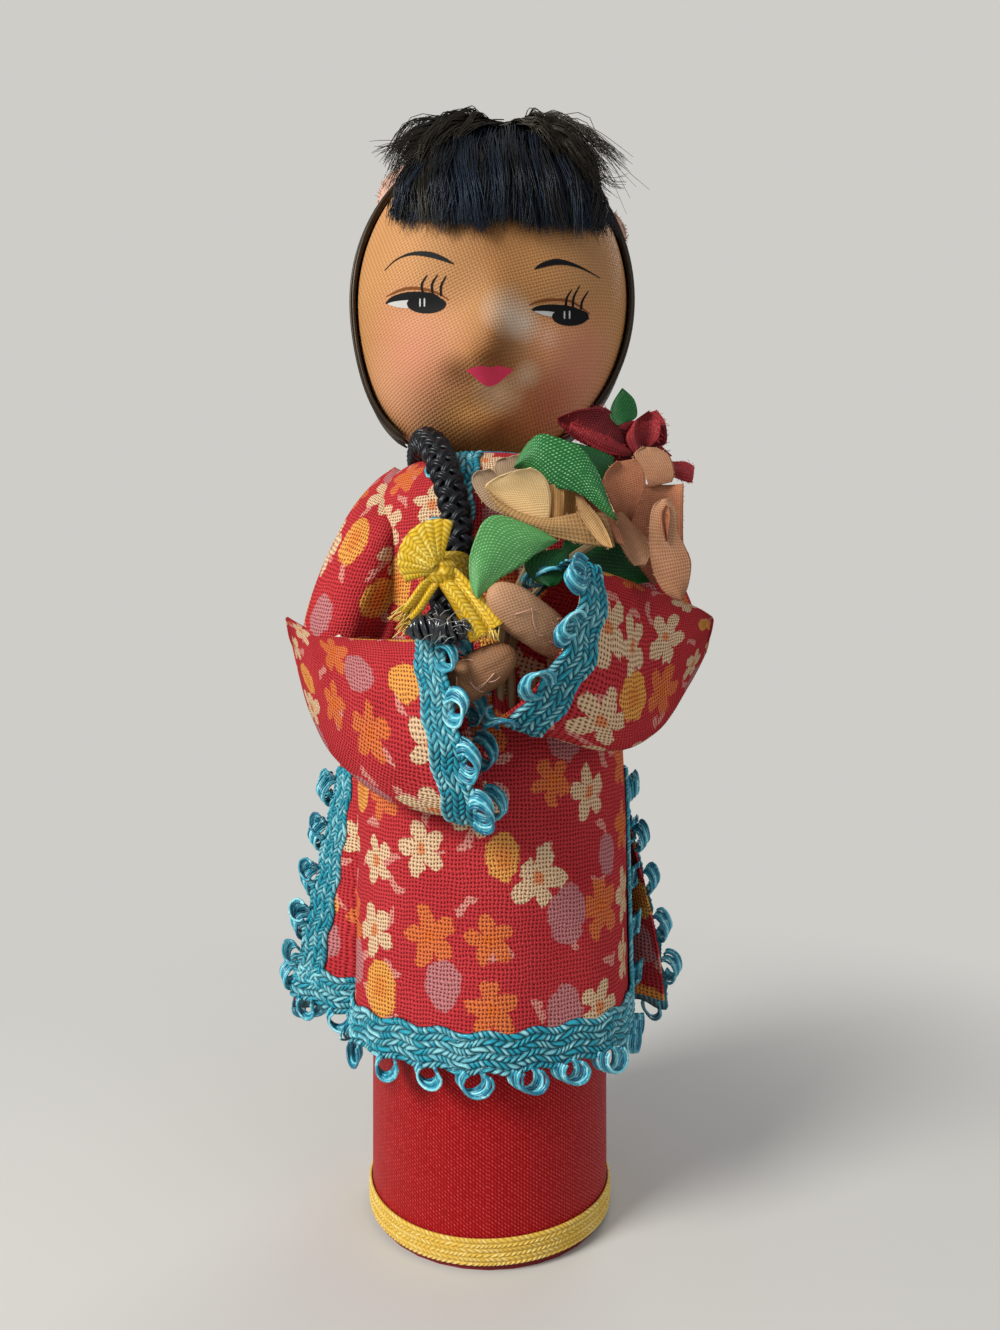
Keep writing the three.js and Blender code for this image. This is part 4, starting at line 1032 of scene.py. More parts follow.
# Soft patches laid on the silk, each a picture point, a reach in mm, a tint and an amount. The first three
# are blush on the cheeks. Then come painted shade on the nose and in the hollow left of the mouth, painted
# highlights right of the nose bridge, painted shade on the forehead under the fringe, and painted highlights
# right of the lips and below them. The last ones are a darker lower chin, a lighter patch left of it, pinkish
# patches on both jaws and a small lighter patch below the right eye.
FACE_ROUGE_AND_PAINTED_LIGHT = [
    (412, 358, 10.5, (0.66, 0.25, 0.16, 1), 0.75), (577, 372, 10, (0.7, 0.24, 0.15, 1), 0.8),
    (553, 398, 5.0, (0.6, 0.16, 0.1, 1), 0.45), (487, 343, 6.0, (0.27, 0.095, 0.02, 1), 0.7),
    (502, 349, 4.2, (0.15, 0.052, 0.014, 1), 0.6), (456, 371, 2.9, (0.18, 0.065, 0.02, 1), 0.7),
    (507, 311, 3.8, (0.66, 0.54, 0.42, 1), 0.75), (523, 322, 3.0, (0.68, 0.56, 0.45, 1), 0.75),
    (495, 248, 11, (0.25, 0.1, 0.025, 1), 0.75), (594, 255, 8.0, (0.3, 0.14, 0.06, 1), 0.5),
    (526, 376, 2.3, (0.84, 0.6, 0.38, 1), 0.85), (498, 394, 3.8, (0.95, 0.68, 0.4, 1), 0.95),
    (499, 428, 4.4, (0.26, 0.085, 0.02, 1), 0.7), (466, 414, 4.6, (0.74, 0.38, 0.12, 1), 0.7),
    (398, 398, 8.0, (0.72, 0.36, 0.2, 1), 0.65), (588, 412, 6.0, (0.7, 0.3, 0.18, 1), 0.55),
    (548, 336, 2.2, (0.7, 0.44, 0.32, 1), 0.45),
]
face_looks, face_place, face_colour = silk_weave("silk_face", (0.65, 0.32, 0.115, 1), (0.29, 0.11, 0.028, 1),
                                                 FACE_WEAVE)
for px, py, reach, tint, amount in FACE_ROUGE_AND_PAINTED_LIGHT:
    face_colour = rouge_and_painted_light(face_looks, face_place, face_colour, seen_on_face(px, py, 0), reach, tint, amount)


def mask_place(across, up):
    return head_spot(MASK_FROM + MASK_ROUND * across, MASK_LOW + MASK_TALL * up)


mask = bent_grid("silk_mask", 150, 150, mask_place, lambda a, b: (a * 55, b * 66),
                 face_looks.coat(face_colour, *SILK_GLOSS))
thicken(face_outwards(mask, HEAD_MIDDLE), MASK_CLOTH, -1)
dress(mask, "head", "face_mask", "silk_face")

# Painted features: brows, eyes, lashes and lips are brushed on the silk in thin flat paint. Strokes are given
# as points of the camera's picture with their width, and eyes and lips by an upper and a lower line.
PAINT_LIFT = {"brow": 0.05, "crease": 0.05, "white": 0.055, "iris": 0.06, "lips": 0.06, "lid": 0.07,
              "lash": 0.07, "glint": 0.09}


def paint_finish(name, colour):
    return new_looks(name).coat(colour, 0.6, 0.1)


def patch(name, top, bottom, material):
    """A painted shape between an upper and a lower line of picture points."""
    def place(along, across):
        spot = drawn_through(top, along).lerp(drawn_through(bottom, along), across)
        return seen_on_face(spot.x, spot.y, PAINT_LIFT[name])

    return face_outwards(bent_grid(name, 36, 6, place, lambda a, b: (a, b), material), HEAD_MIDDLE)


def stroke(name, line, material):
    """A brush stroke along picture points, each with its width."""
    spots = [Vector((x, y)) for x, y, width in line]
    top, bottom = [], []
    for i, (x, y, width) in enumerate(line):
        way = (spots[min(len(spots) - 1, i + 1)] - spots[max(0, i - 1)]).normalized()
        across = Vector((-way.y, way.x)) * width / 2
        top.append(spots[i] - across)
        bottom.append(spots[i] + across)
    return patch(name, top, bottom, material)


def iris(x, y, wide, tall, material):
    turns = [math.pi * k / 16 for k in range(17)]
    top = [(x - wide * math.cos(t), y - 0.8 * tall * math.sin(t)) for t in turns]
    bottom = [(x - wide * math.cos(t), y + tall * math.sin(t)) for t in turns]
    return patch("iris", top, bottom, material)


BROWS = [[(384.5, 270.5, 0.8), (393, 262, 1.2), (402, 256.6, 1.8), (411, 253.9, 3.0), (420, 253.4, 4.6),
          (432, 255, 5.6), (444, 259.2, 4.2), (454, 264, 1.0)],
         [(534.5, 269, 1.0), (541, 265.6, 4.4), (550, 262.8, 5.8), (558, 261.8, 6.0), (568, 263.2, 4.2),
          (580, 267.2, 2.4), (590, 272.2, 1.4), (600, 278, 0.7)]]
LIDS = [[(385.6, 303.6, 1.2), (391, 300, 4.4), (398, 297.6, 6.6), (408, 296, 8.0), (420, 296, 8.6),
         (434, 298, 8.0), (446, 304.4, 1.6)],
        [(531.8, 310, 1.4), (538, 308.4, 5.0), (546, 307.8, 6.4), (556, 308.4, 7.6), (568, 310, 8.6),
         (580, 313.6, 7.0), (589, 319, 1.6)]]
IRISES = [(426.4, 303.6, 19.6, 9.8), (570.4, 316.2, 18.4, 9.6)]
LASHES = [((422.5, 292), (421.8, 284), (427, 275)), ((432.5, 293), (432, 284), (437.5, 274.5)),
          ((441, 296), (441, 286), (446, 276)), ((566, 306), (567, 298), (572, 289.5)),
          ((573, 307), (574, 297), (580, 285.5)), ((581, 309.5), (582.5, 301), (588.5, 291))]
LASH_WIDTHS = (2.4, 2.2, 1.0)
CREASES = [[(386, 296.5, 1.0), (402.5, 289.4, 2.8), (417.5, 288.2, 2.9), (435, 292, 2.4), (449, 300, 1.2)],
           [(529, 305, 1.0), (540, 301.2, 2.5), (555, 299.6, 2.7), (572.5, 302, 2.2), (590, 314, 1.0)]]
WHITES = [([(388, 302.6), (397, 300), (408, 299)], [(388, 304.4), (397, 307.2), (408, 308.4)]),
          ([(535, 311), (545, 310), (555, 310)], [(535, 312), (545, 315.6), (555, 317)])]
GLINTS = [(420, 302.6, 8), (424.4, 302.4, 8.4), (564.5, 315, 7.6), (569.6, 314.8, 8)]
GLINT_WIDTHS = (1.2, 1.6, 1.2)
LIPS = ([(466.5, 370), (474, 367.4), (482, 365.8), (490, 367.4), (498, 365.8), (506, 367.2), (513.5, 369.6)],
        [(466.5, 370.8), (474, 376.5), (482, 383.6), (490, 386.2), (498, 383.4), (506, 376.5),
         (513.5, 370.4)])

paint_black = paint_finish("paint_black", (0.006, 0.006, 0.007, 1))
paint_white = paint_finish("paint_white", (0.56, 0.55, 0.52, 1))
paint_brown = paint_finish("paint_brown", (0.2, 0.06, 0.014, 1))
paint_pink = paint_finish("paint_pink", (1.0, 0.075, 0.17, 1))
black_paint = [stroke("brow", line, paint_black) for line in BROWS]
black_paint += [iris(*form, paint_black) for form in IRISES]
black_paint += [stroke("lid", line, paint_black) for line in LIDS]
for lash in LASHES:
    line = [(x, y, width) for (x, y), width in zip(lash, LASH_WIDTHS)]
    black_paint.append(stroke("lash", line, paint_black))
brown_paint = [stroke("crease", line, paint_brown) for line in CREASES]
white_paint = [patch("white", top, bottom, paint_white) for top, bottom in WHITES]
for x, y, tall in GLINTS:
    line = [(x, y + tall * half, width) for half, width in zip((-0.5, 0, 0.5), GLINT_WIDTHS)]
    white_paint.append(stroke("glint", line, paint_white))
pink_paint = [patch("lips", *LIPS, paint_pink)]
for name, strokes in (("painted_black", black_paint), ("painted_brown", brown_paint),
                      ("painted_white", white_paint), ("painted_lips", pink_paint)):
    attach(merged(name, strokes), "head")

# Hair: combed black fibre with a blue sheen. A cap covers the back of the head, thin strands frame the face,
# and a short fringe falls from the crown in two loose lobes with stray ends.
CAP_FROM, CAP_ROUND = 88, 184
CAP_LOW, CAP_TALL = -88, 176
CAP_LIFT = 0.15
CAP_THICKNESS = 0.6


def hair_finish(name, colour, shade, sheen, roughness=0.36, specular=0.32):
    looks = new_looks(name)
    patchy = looks.speckle(looks.place(), 420, 3)
    return looks.coat(looks.mix(patchy, shade, colour), roughness, specular, sheen)


def combed_finish(name, colour, shade):
    """Fibre combed flat, its strands running along v."""
    looks = new_looks(name)
    flat, u, v = looks.flat()
    strand = looks.speckle(looks.take(0, "CombineXYZ", {0: u * 3.2, 1: v * 0.12}), 1.0, 4)
    looks.emboss(strand, 0.0006, 0.9)
    return looks.coat(looks.mix(strand, shade, colour), 0.46, 0.3)


hair_black = hair_finish("hair_black", (0.014, 0.02, 0.036, 1), (0.004, 0.005, 0.007, 1), (0.55, 0.74, 1, 1))
hair_deep = hair_finish("hair_deep", (0.008, 0.008, 0.009, 1), (0.002, 0.002, 0.002, 1), (0.8, 0.88, 1, 1))
hair_dull = hair_finish("hair_dull", (0.024, 0.02, 0.014, 1), (0.007, 0.006, 0.004, 1), (1, 0.9, 0.75, 1))
hair_brown = hair_finish("hair_brown", (0.05, 0.034, 0.02, 1), (0.012, 0.01, 0.009, 1), (1, 0.85, 0.7, 1))
# The lightest of these is painted highlight on the side strands.
hair_painted_highlight = hair_finish("hair_painted_highlight", (0.2, 0.15, 0.1, 1), (0.06, 0.045, 0.03, 1), (1, 0.9, 0.8, 1))
hair_combed = combed_finish("hair_combed", (0.02, 0.023, 0.032, 1), (0.003, 0.003, 0.004, 1))


def cap_place(across, along):
    return head_spot(CAP_FROM + CAP_ROUND * across, CAP_LOW + CAP_TALL * along, CAP_LIFT, False)


cap = bent_grid("hair_cap_combed", 110, 90, cap_place, lambda a, b: (a * 56, b * 66), hair_combed)
thicken(face_outwards(cap, HEAD_MIDDLE), CAP_THICKNESS, -1)
dress(cap, "head", "hair_cap", "hair_black")

CROWN_MIDDLE_Y = -2.5
CROWN_WIDE = 12.4
CROWN_DEEP = 8.5
CROWN_LIFT = 0.35
HAIR_LAYER = 0.3


def crown_place(across, along):
    """A round patch over the top of the head, from the fringe's roots back over the cap's front edge."""
    u, v = 2 * across - 1, 2 * along - 1
    x = CROWN_WIDE * u * math.sqrt(1 - v * v / 2)
    y = CROWN_MIDDLE_Y + CROWN_DEEP * v * math.sqrt(1 - u * u / 2)
    inside = 1 - (x / HEAD_A) ** 2 - (y / HEAD_B) ** 2
    return leaned((x, y, HEAD_CENTRE + HEAD_C * math.sqrt(inside) + CROWN_LIFT))


crown = bent_grid("crown_hair", 40, 30, crown_place, lambda a, b: (b * 17, a * 25), hair_combed)
thicken(face_outwards(crown, HEAD_MIDDLE), HAIR_LAYER, -1)
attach(crown, "head")

SIDE_STRANDS = 22
SIDE_STEPS = 40
SIDE_RADIUS = 0.26
SIDE_FIRST, SIDE_SPREAD = -2.6, 5.0
SIDE_FORWARD = 0.7
chance = random.Random(31)
for side, way in (("left", -1), ("right", 1)):
    lines = []
    for strand in range(SIDE_STRANDS):
        lift = 0.25 + 0.3 * (strand % 2)
        offset = SIDE_FIRST + SIDE_SPREAD * (strand / (SIDE_STRANDS - 1))
        drift = chance.uniform(-0.5, 0.5)
        start, end = chance.uniform(54, 62), chance.uniform(-62, -57)
        line = []
        for k in range(SIDE_STEPS + 1):
            lat = start + (end - start) * k / SIDE_STEPS
            spot = head_spot(way * (89 + offset * 0.2), lat, lift, False)
            spot.y += offset + 0.5 * drift * math.sin(k * 0.21 + strand) - SIDE_FORWARD
            line.append((spot, 1 if 0 < k < SIDE_STEPS else 0.5))
        lines.append(line)
    # Every third strand takes a much lighter copy of the fibre, a painted highlight along the strands.
    dark = thread_curves("dark", lines[::3] + lines[1::3], SIDE_RADIUS, hair_brown)
    highlight_strands = thread_curves("highlight_strands", lines[2::3], SIDE_RADIUS, hair_painted_highlight)
    dress(merged(f"side_hair_{side}", [dark, highlight_strands]), "head", f"side_strand_{side}", "hair_black")

PARTING = Vector((1.7, -5.0, 143.6))
FIBRE_RADIUS = 0.075
FRINGE_LEFT, FRINGE_WIDE = -12.2, 27.6
FRINGE_LOW = 126.7
FRINGE_SHOULDER = 143.0
FRINGE_STEPS = 10
LOCKS = 150
LOCK_STRANDS = 14
GOLDEN_SHARE = 0.61803
PAD_LEFT, PAD_WIDE = -11.6, 26.6
PAD_LIFT = 0.75


def fringe_edge(x):
    """Height of the fringe's lower edge: two full lobes with a notch between them, rising at the ends."""
    notch = 1.3 * math.exp(-((x - 2.5) / 2.4) ** 2)
    return FRINGE_LOW + notch + 3.2 * (abs(x - 1.8) / 14) ** 2


def over_forehead(x, z, lift):
    """A point in front of the head at a world X and Z, or on its outline where the head is narrower."""
    local = upright((x, 0, z))
    reach = ((local.x / HEAD_A) ** 2 + ((local.z - HEAD_CENTRE) / HEAD_C) ** 2)
    y = -HEAD_B * math.sqrt(max(0.02, 1 - reach)) - lift
    return leaned((local.x, y, local.z))


def strayed(*spreads):
    """A step by chance, with its spread along each direction."""
    return Vector([chance.gauss(0, spread) for spread in spreads])


fringe_lines = {"blue": [], "black": [], "brown": []}
for lock in range(LOCKS):
    x_lock = FRINGE_LEFT + FRINGE_WIDE * ((lock * GOLDEN_SHARE) % 1)
    layer = chance.random()
    drop = chance.gauss(0, 0.55)
    lean = chance.gauss(0, 1.5)
    wave = strayed(0.5, 0.35).to_3d()
    turn = chance.uniform(0, 6.28)
    rise = chance.uniform(-0.4, 1.2)
    tint = chance.choices(("blue", "black", "brown"), (5, 3, 4 if x_lock < -6 else 1))[0]
    for strand in range(LOCK_STRANDS):
        x = x_lock + chance.gauss(0, 0.55)
        side = x - PARTING.x
        dip = 1.5 * math.exp(-(side / 2.2) ** 2)
        root = PARTING + Vector((side * 0.25 + chance.gauss(0, 0.8), chance.uniform(-2, 2.5),
                                 -0.04 * abs(side) - dip))
        shoulder = Vector((PARTING.x + side * 0.76 + lean * 0.4, -8.4 - 2.0 * layer,
                           FRINGE_SHOULDER - 0.014 * side * side + rise - dip + chance.gauss(0, 0.4)))
        low = shoulder.z - 4.6
        tip_z = fringe_edge(x) + drop + chance.gauss(0.1, 0.5) + 0.6 * (1 - layer)
        brow = over_forehead(PARTING.x + side * 0.9 + lean * 0.5, low, 1.0 + 2.4 * layer)
        mid = over_forehead(PARTING.x + side * 0.97 + lean * 0.2, (low + tip_z) / 2, 1.1 + 2.4 * layer)
        tip = over_forehead(x + chance.gauss(0, 0.35) - lean * 0.2, tip_z, 0.4 + 1.5 * layer)
        spots = [root, shoulder, brow, mid, tip]
        sway = strayed(0.32, 0.22).to_3d()
        start = chance.uniform(0, 6.28)
        line = []
        for k in range(FRINGE_STEPS + 1):
            share = k / FRINGE_STEPS
            loose = share * (1.3 - share) * 1.6
            curl = (sway * math.sin(start + 8 * share) + wave * math.sin(turn + 6 * share)) * loose
            line.append((drawn_through(spots, share) + curl, 1 - 0.7 * share ** 3))
        fringe_lines[tint].append(line)
tints = (("blue", hair_black), ("black", hair_deep), ("brown", hair_dull))
fibres = [thread_curves(f"fringe_{tint}", fringe_lines[tint], FIBRE_RADIUS, finish, 0)
          for tint, finish in tints]
dress(merged("fringe_fibre", fibres), "head", "fringe", "hair_black")


def pad_place(across, up):
    x = PAD_LEFT + PAD_WIDE * across
    tall = 13.4 - 7 * (2 * across - 1) ** 2
    return over_forehead(x, fringe_edge(x) + 1.0 + tall * up, PAD_LIFT)


pad = bent_grid("fringe_ground", 60, 24, pad_place, lambda a, b: (a * 26, b * 13), hair_black)
thicken(face_outwards(pad, HEAD_MIDDLE), HAIR_LAYER, -1)
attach(pad, "head")

LEFT_LOBE = [(-1.2, -7.0, 144.2), (-5.2, -8.4, 145.0), (-9.4, -9.6, 143.4), (-12.0, -11.0, 138.6)]
RIGHT_LOBE = [(4.2, -7.0, 143.6), (8.2, -8.4, 144.2), (12.0, -9.4, 141.8), (15.8, -10.8, 136.4)]
LOBE_LOCKS = 46
LOBE_STRANDS, STRAY_STRANDS = 14, 5
WAVE_STEPS = 12


def wavy_strand(spots, wave, turn, pace):
    """A thinning strand through spots that waves more and more towards its end."""
    line = []
    for k in range(WAVE_STEPS + 1):
        share = k / WAVE_STEPS
        curl = wave * math.sin(turn + pace * share) * share
        line.append((drawn_through(spots, share) + curl, 1 - 0.75 * share ** 2))
    return line


for side, path in (("left", LEFT_LOBE), ("right", RIGHT_LOBE)):
    lines = []
    for lock in range(LOBE_LOCKS):
        scale = 1 - 0.45 * chance.random() ** 1.4
        depth = chance.uniform(-3.5, 5.0)
        stray = chance.random() < 0.3
        shift = Vector((chance.gauss(0, 1.1), depth, chance.gauss(-0.3, 0.8)))
        reach = chance.uniform(0.7, 1.05) + (chance.uniform(0.1, 0.6) if stray else 0)
        wave = strayed(0.5, 0.5, 0.5)
        turn = chance.uniform(0, 6.28)
        for strand in range(STRAY_STRANDS if stray else LOBE_STRANDS):
            spots = [PARTING + Vector((chance.gauss(0, 0.5), depth * 0.6, chance.gauss(-0.8, 0.3)))]
            for i, spot in enumerate(path):
                loose = 0.14 + 0.14 * i
                spots.append(PARTING + (Vector(spot) - PARTING) * scale + shift * (0.4 + 0.2 * i)
                             + strayed(loose, loose, loose))
            spots[-1] = spots[-2] + (spots[-1] - spots[-2]) * reach
            lines.append(wavy_strand(spots, wave, turn, 7))
    lobe = thread_curves(f"crown_lobe_{side}", lines, FIBRE_RADIUS, hair_dull, 0)
    dress(lobe, "head", f"crown_tuft_{side}", "hair_black")

# Loose crown hair: wavy locks of the same fibre, rooted in the parting. They sweep over the fringe's upper
# half and fall at its sides.
LEFT_SWEEP = [(-2.6, -11.6, 142.9), (-7.0, -13.2, 141.9), (-10.6, -13.4, 138.8), (-12.4, -13.0, 135.2)]
RIGHT_SWEEP = [(5.8, -11.6, 142.3), (9.8, -13.0, 140.8), (13.0, -12.8, 137.6), (15.6, -12.2, 134.0)]
SWEEP_LOCKS = 16
SWEEP_STRANDS = 11
SWEEP_ROOT_Y = -3.5
lines = []
for path in (LEFT_SWEEP, RIGHT_SWEEP):
    for lock in range(SWEEP_LOCKS):
        scale = chance.uniform(0.45, 1.06)
        fall = Vector((chance.gauss(0, 0.8), chance.uniform(-0.6, 0.9), chance.gauss(-0.6, 1.0)))
        wave = strayed(0.7, 0.4, 0.7)
        turn = chance.uniform(0, 6.28)
        for strand in range(SWEEP_STRANDS):
            root = Vector((chance.gauss(0, 0.7), SWEEP_ROOT_Y + chance.gauss(0, 0.6),
                           chance.gauss(-0.2, 0.4)))
            spots = [PARTING + root]
            for i, spot in enumerate(path):
                loose = 0.12 + 0.12 * i
                stray = strayed(loose, loose, loose)
                spots.append(PARTING.lerp(Vector(spot), scale) + fall * (0.3 + 0.25 * i) + stray)
                spots[-1].y = spot[1] + fall.y
            lines.append(wavy_strand(spots, wave, turn, 8))
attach(thread_curves("crown_sweep", lines, FIBRE_RADIUS, hair_dull, 0), "head")

# Raw silk: where the face's cloth is turned back under the hair its pale pink edge stands out at both
# temples, folded over and a little frayed.
FLAP_FROM, FLAP_DEEP = 84, 4
FLAP_LIFT = 0.3
FRAYS = 50
silk_raw = plain_finish("silk_raw", (0.72, 0.44, 0.34, 1), (0.56, 0.3, 0.2, 1), 900, 0.7)
for side, way, low, high, wide in (("left", -1, 33, 62, 3.2), ("right", 1, 22, 42, 2.0)):
    def turned_back(along, across):
        lift = FLAP_LIFT + wide * across * math.sin(math.pi * along) ** 0.7
        return head_spot(way * (FLAP_FROM + FLAP_DEEP * across), low + (high - low) * along, lift, False)

    flap = bent_grid("flap", 24, 6, turned_back, lambda a, b: (a, b), silk_raw)
    lines = []
    for fray in range(FRAYS):
        start = turned_back(chance.uniform(0.08, 0.92), 0.9)
        end = start + Vector((way * chance.uniform(0.1, 0.6), chance.gauss(0, 0.3), chance.gauss(0.1, 0.4)))
        lines.append([(start.lerp(end, k / 3), 1 - 0.2 * k) for k in range(4)])
    frayed = thread_curves("frayed", lines, 0.06, silk_raw, 0)
    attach(merged(f"raw_silk_{side}", [flap, frayed]), "head")

# Plait: a round braid of glossy black yarn that comes round the neck, lies over the chest and ends in a
# bound tuft. A yellow ribbed tape is tied round it in a bow with one fanned loop, a thin frayed tail and
# a broad one.
PLAIT_ROUTE = [(-9.6, 3.2, 102.2), (-9.0, -4.5, 102.3), (-8.0, -10.8, 102.4), (-6.2, -15.8, 99.8),
               (-4.6, -19.8, 95.2), (-3.6, -22.0, 90.6), (-3.5, -24.0, 86.2), (-4.3, -26.2, 82.0),
               (-5.2, -28.2, 78.0)]
PLAIT_STEP = 0.25
PLAIT_BRAID_RADIUS = 1.5
PLAIT_THINNING = 0.3
PLAIT_TURN = 9.0
PLAIT_PAIRS = 4
PLAIT_CORE = 3.9
YARN_RADIUS = 0.3
YARN_APART = 0.27
BEND_FROM, BEND_TO = 0.36, 0.5


def route_frames(spots, step):
    """Points at even steps along a route, each with two directions square to it that don't twist."""
    frames, length = even_frames(lambda share: (drawn_through(spots, share), None, None), step)
    points = [spot for spot, side, normal in frames]
    across = Vector((1, 0, 0))
    held = []
    for i, spot in enumerate(points):
        way = (points[min(len(points) - 1, i + 1)] - points[max(0, i - 1)]).normalized()
        across = (across - way * across.dot(way)).normalized()
        held.append((spot, across, way.cross(across).normalized()))
    return held, length


plait_frames, plait_length = route_frames(PLAIT_ROUTE, PLAIT_STEP)
plait_last = len(plait_frames) - 1
lines = [[(spot, PLAIT_CORE) for spot, a, b in plait_frames]]
for pair in range(2 * PLAIT_PAIRS):
    hand = 1 if pair % 2 else -1
    for yarn in (-1, 0, 1):
        line = []
        for i, (spot, a, b) in enumerate(plait_frames):
            s = plait_length * i / plait_last
            turn = hand * 2 * math.pi * (s / PLAIT_TURN + (pair // 2) / PLAIT_PAIRS) + yarn * YARN_APART
            lift = 0.3 * hand * math.cos(2 * math.pi * PLAIT_PAIRS * s / PLAIT_TURN)
            lift += 0.14 if yarn == 0 else 0
            radius = PLAIT_BRAID_RADIUS - PLAIT_THINNING * i / len(plait_frames) + lift
            line.append((spot + (a * math.cos(turn) + b * math.sin(turn)) * radius, 1))
        lines.append(line)
yarn_black = hair_finish("yarn_black", (0.012, 0.013, 0.016, 1), (0.003, 0.003, 0.004, 1), (0.9, 0.95, 1, 1))
plait = thread_curves("plait_braid", lines, YARN_RADIUS, yarn_black)
plait_frames[round(BEND_FROM * plait_last)][0] * MM
plait_frames[round(BEND_TO * plait_last)][0] * MM
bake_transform(plait)
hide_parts("plait_root", "plait_tail")

BINDING_PLACE = plait_frames[-1][0] + Vector((0, -0.8, 0))
BINDING_SEMI = Vector((3.7, 2.0, 1.6))
BINDING_TURNS = 13
BINDING_STEPS = 24
BINDING_RADIUS = 0.36
BINDING_FULL = 0.86
BINDING_ENDS = 30
lines = []
for turn in range(BINDING_TURNS):
    share = -0.92 + 1.84 * turn / (BINDING_TURNS - 1)
    wide = math.sqrt(1 - share * share) * BINDING_FULL
    line = []
    for k in range(BINDING_STEPS + 1):
        angle = 2 * math.pi * k / BINDING_STEPS
        slant = 0.12 * math.sin(angle + turn)
        line.append((BINDING_PLACE + Vector((BINDING_SEMI.x * (share * BINDING_FULL + slant),
                                             BINDING_SEMI.y * wide * math.cos(angle),
                                             BINDING_SEMI.z * wide * math.sin(angle))), 1))
    lines.append(line)
lines.append([(BINDING_PLACE + Vector((BINDING_SEMI.x * 0.8 * k / 6, 0, 0)),
               0.2 + 3.4 * math.sqrt(max(0.03, 1 - (k / 6) ** 2))) for k in range(-6, 7)])
for strand in range(BINDING_ENDS):
    way = -1 if strand % 2 else 1
    start = BINDING_PLACE + Vector((way * 2.0, chance.gauss(0, 0.8), chance.gauss(0, 0.7)))
    reach = Vector((way * chance.uniform(0.6, 2.0), chance.gauss(-0.3, 0.4), chance.gauss(-0.1, 0.4)))
    lines.append([(start, 0.3), (start + reach * 0.6, 0.26), (start + reach, 0.12)])
binding_gloss = hair_finish("binding_gloss", (0.03, 0.033, 0.04, 1), (0.006, 0.006, 0.007, 1), (1, 1, 1, 1),
                            0.2, 0.9)
binding = thread_curves("plait_end_binding", lines, BINDING_RADIUS, binding_gloss)
dress(binding, "plait", "plait_binding", "hair_black")

FLUFF_STRANDS = 16
FLUFF_RADIUS = 0.06
fluff_grey = thread_finish("fluff_grey", (0.42, 0.4, 0.37, 1), (0.2, 0.19, 0.18, 1), (0.6, 0.6, 0.58, 1), 0.6)
lines = []
for strand in range(FLUFF_STRANDS):
    start = BINDING_PLACE + Vector((chance.gauss(0.4, 1.2), -1.9, chance.gauss(0.3, 0.8)))
    reach = Vector((chance.gauss(0.5, 1.3), -0.25, chance.gauss(0, 0.8)))
    lines.append([(start, 0.6), (start + reach * 0.5 + Vector((0, -0.2, 0.2)), 0.6), (start + reach, 0.3)])
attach(thread_curves("plait_end_fluff", lines, FLUFF_RADIUS, fluff_grey, 0), "plait")

BOW_Z = 84.4
BAND_RADIUS = 2.3
BAND_WIDTH = 2.6
TAPE_STITCH = 0.62
TAPE_THICKNESS = 0.35
THIN_TAPE = 0.3
bow_spot, bow_a, bow_b = min(plait_frames, key=lambda frame: abs(frame[0].z - BOW_Z))
bow_way = bow_a.cross(bow_b)
# Its second colour is painted shade in the gaps between stitches, its third a painted highlight on their
# crests.
tape_yellow = stitched_finish("tape_yellow", (0.92, 0.6, 0.03, 1), (0.52, 0.27, 0.006, 1), (1, 0.84, 0.2, 1),
                              (1, 0.85, 0.3, 1))


def tape_flat(length, rows):
    """Flat places on a tape woven in rows of slanting stitches."""
    def flat(along, across):
        row = min(rows - 1, int(across * rows + 1e-6))
        way = 1 if row % 2 else -1
        return along * length / TAPE_STITCH + way * (across * rows - row - 0.5), across * rows
    return flat


def band_place(along, across):
    turn = 2 * math.pi * along
    pinch = 1 - 0.25 * max(0, math.cos(turn + math.pi / 2)) ** 4
    radius = BAND_RADIUS + 0.12 * math.sin(5 * turn)
    return (bow_spot + (bow_a * math.cos(turn) + bow_b * math.sin(turn)) * radius
            + bow_way * (across - 0.5) * BAND_WIDTH * pinch)


band = bent_grid("bow_band_tape", 48, 18, band_place, tape_flat(15, 4), tape_yellow, wrap=True)
dress(thicken(turned_out(band), TAPE_THICKNESS, 0), "plait", "bow_band", "bow_yellow")

KNOT = bow_spot + Vector((-1.4, -3.1, -0.2))
KNOT_SEMI = Vector((1.95, 1.5, 1.65))


def knot_place(along, across):
    turn = 2 * math.pi * along
    tilt = math.pi * (across - 0.5)
    girth = math.cos(tilt) * (1 + 0.07 * math.sin(4 * turn + 3 * tilt))
    return KNOT + Vector((KNOT_SEMI.x * math.cos(turn) * girth, KNOT_SEMI.y * math.sin(turn) * girth,
                          KNOT_SEMI.z * math.sin(tilt)))


knot = bent_grid("bow_knot_tape", 32, 20, knot_place, tape_flat(11, 5), tape_yellow, wrap=True)
dress(turned_out(knot), "plait", "bow_knot", "bow_yellow")

LOOP_FROM = math.radians(74)
LOOP_TO = math.radians(198)
LOOP_ROOT, LOOP_REACH = 0.6, 6.0
LOOP_RIBS = 11


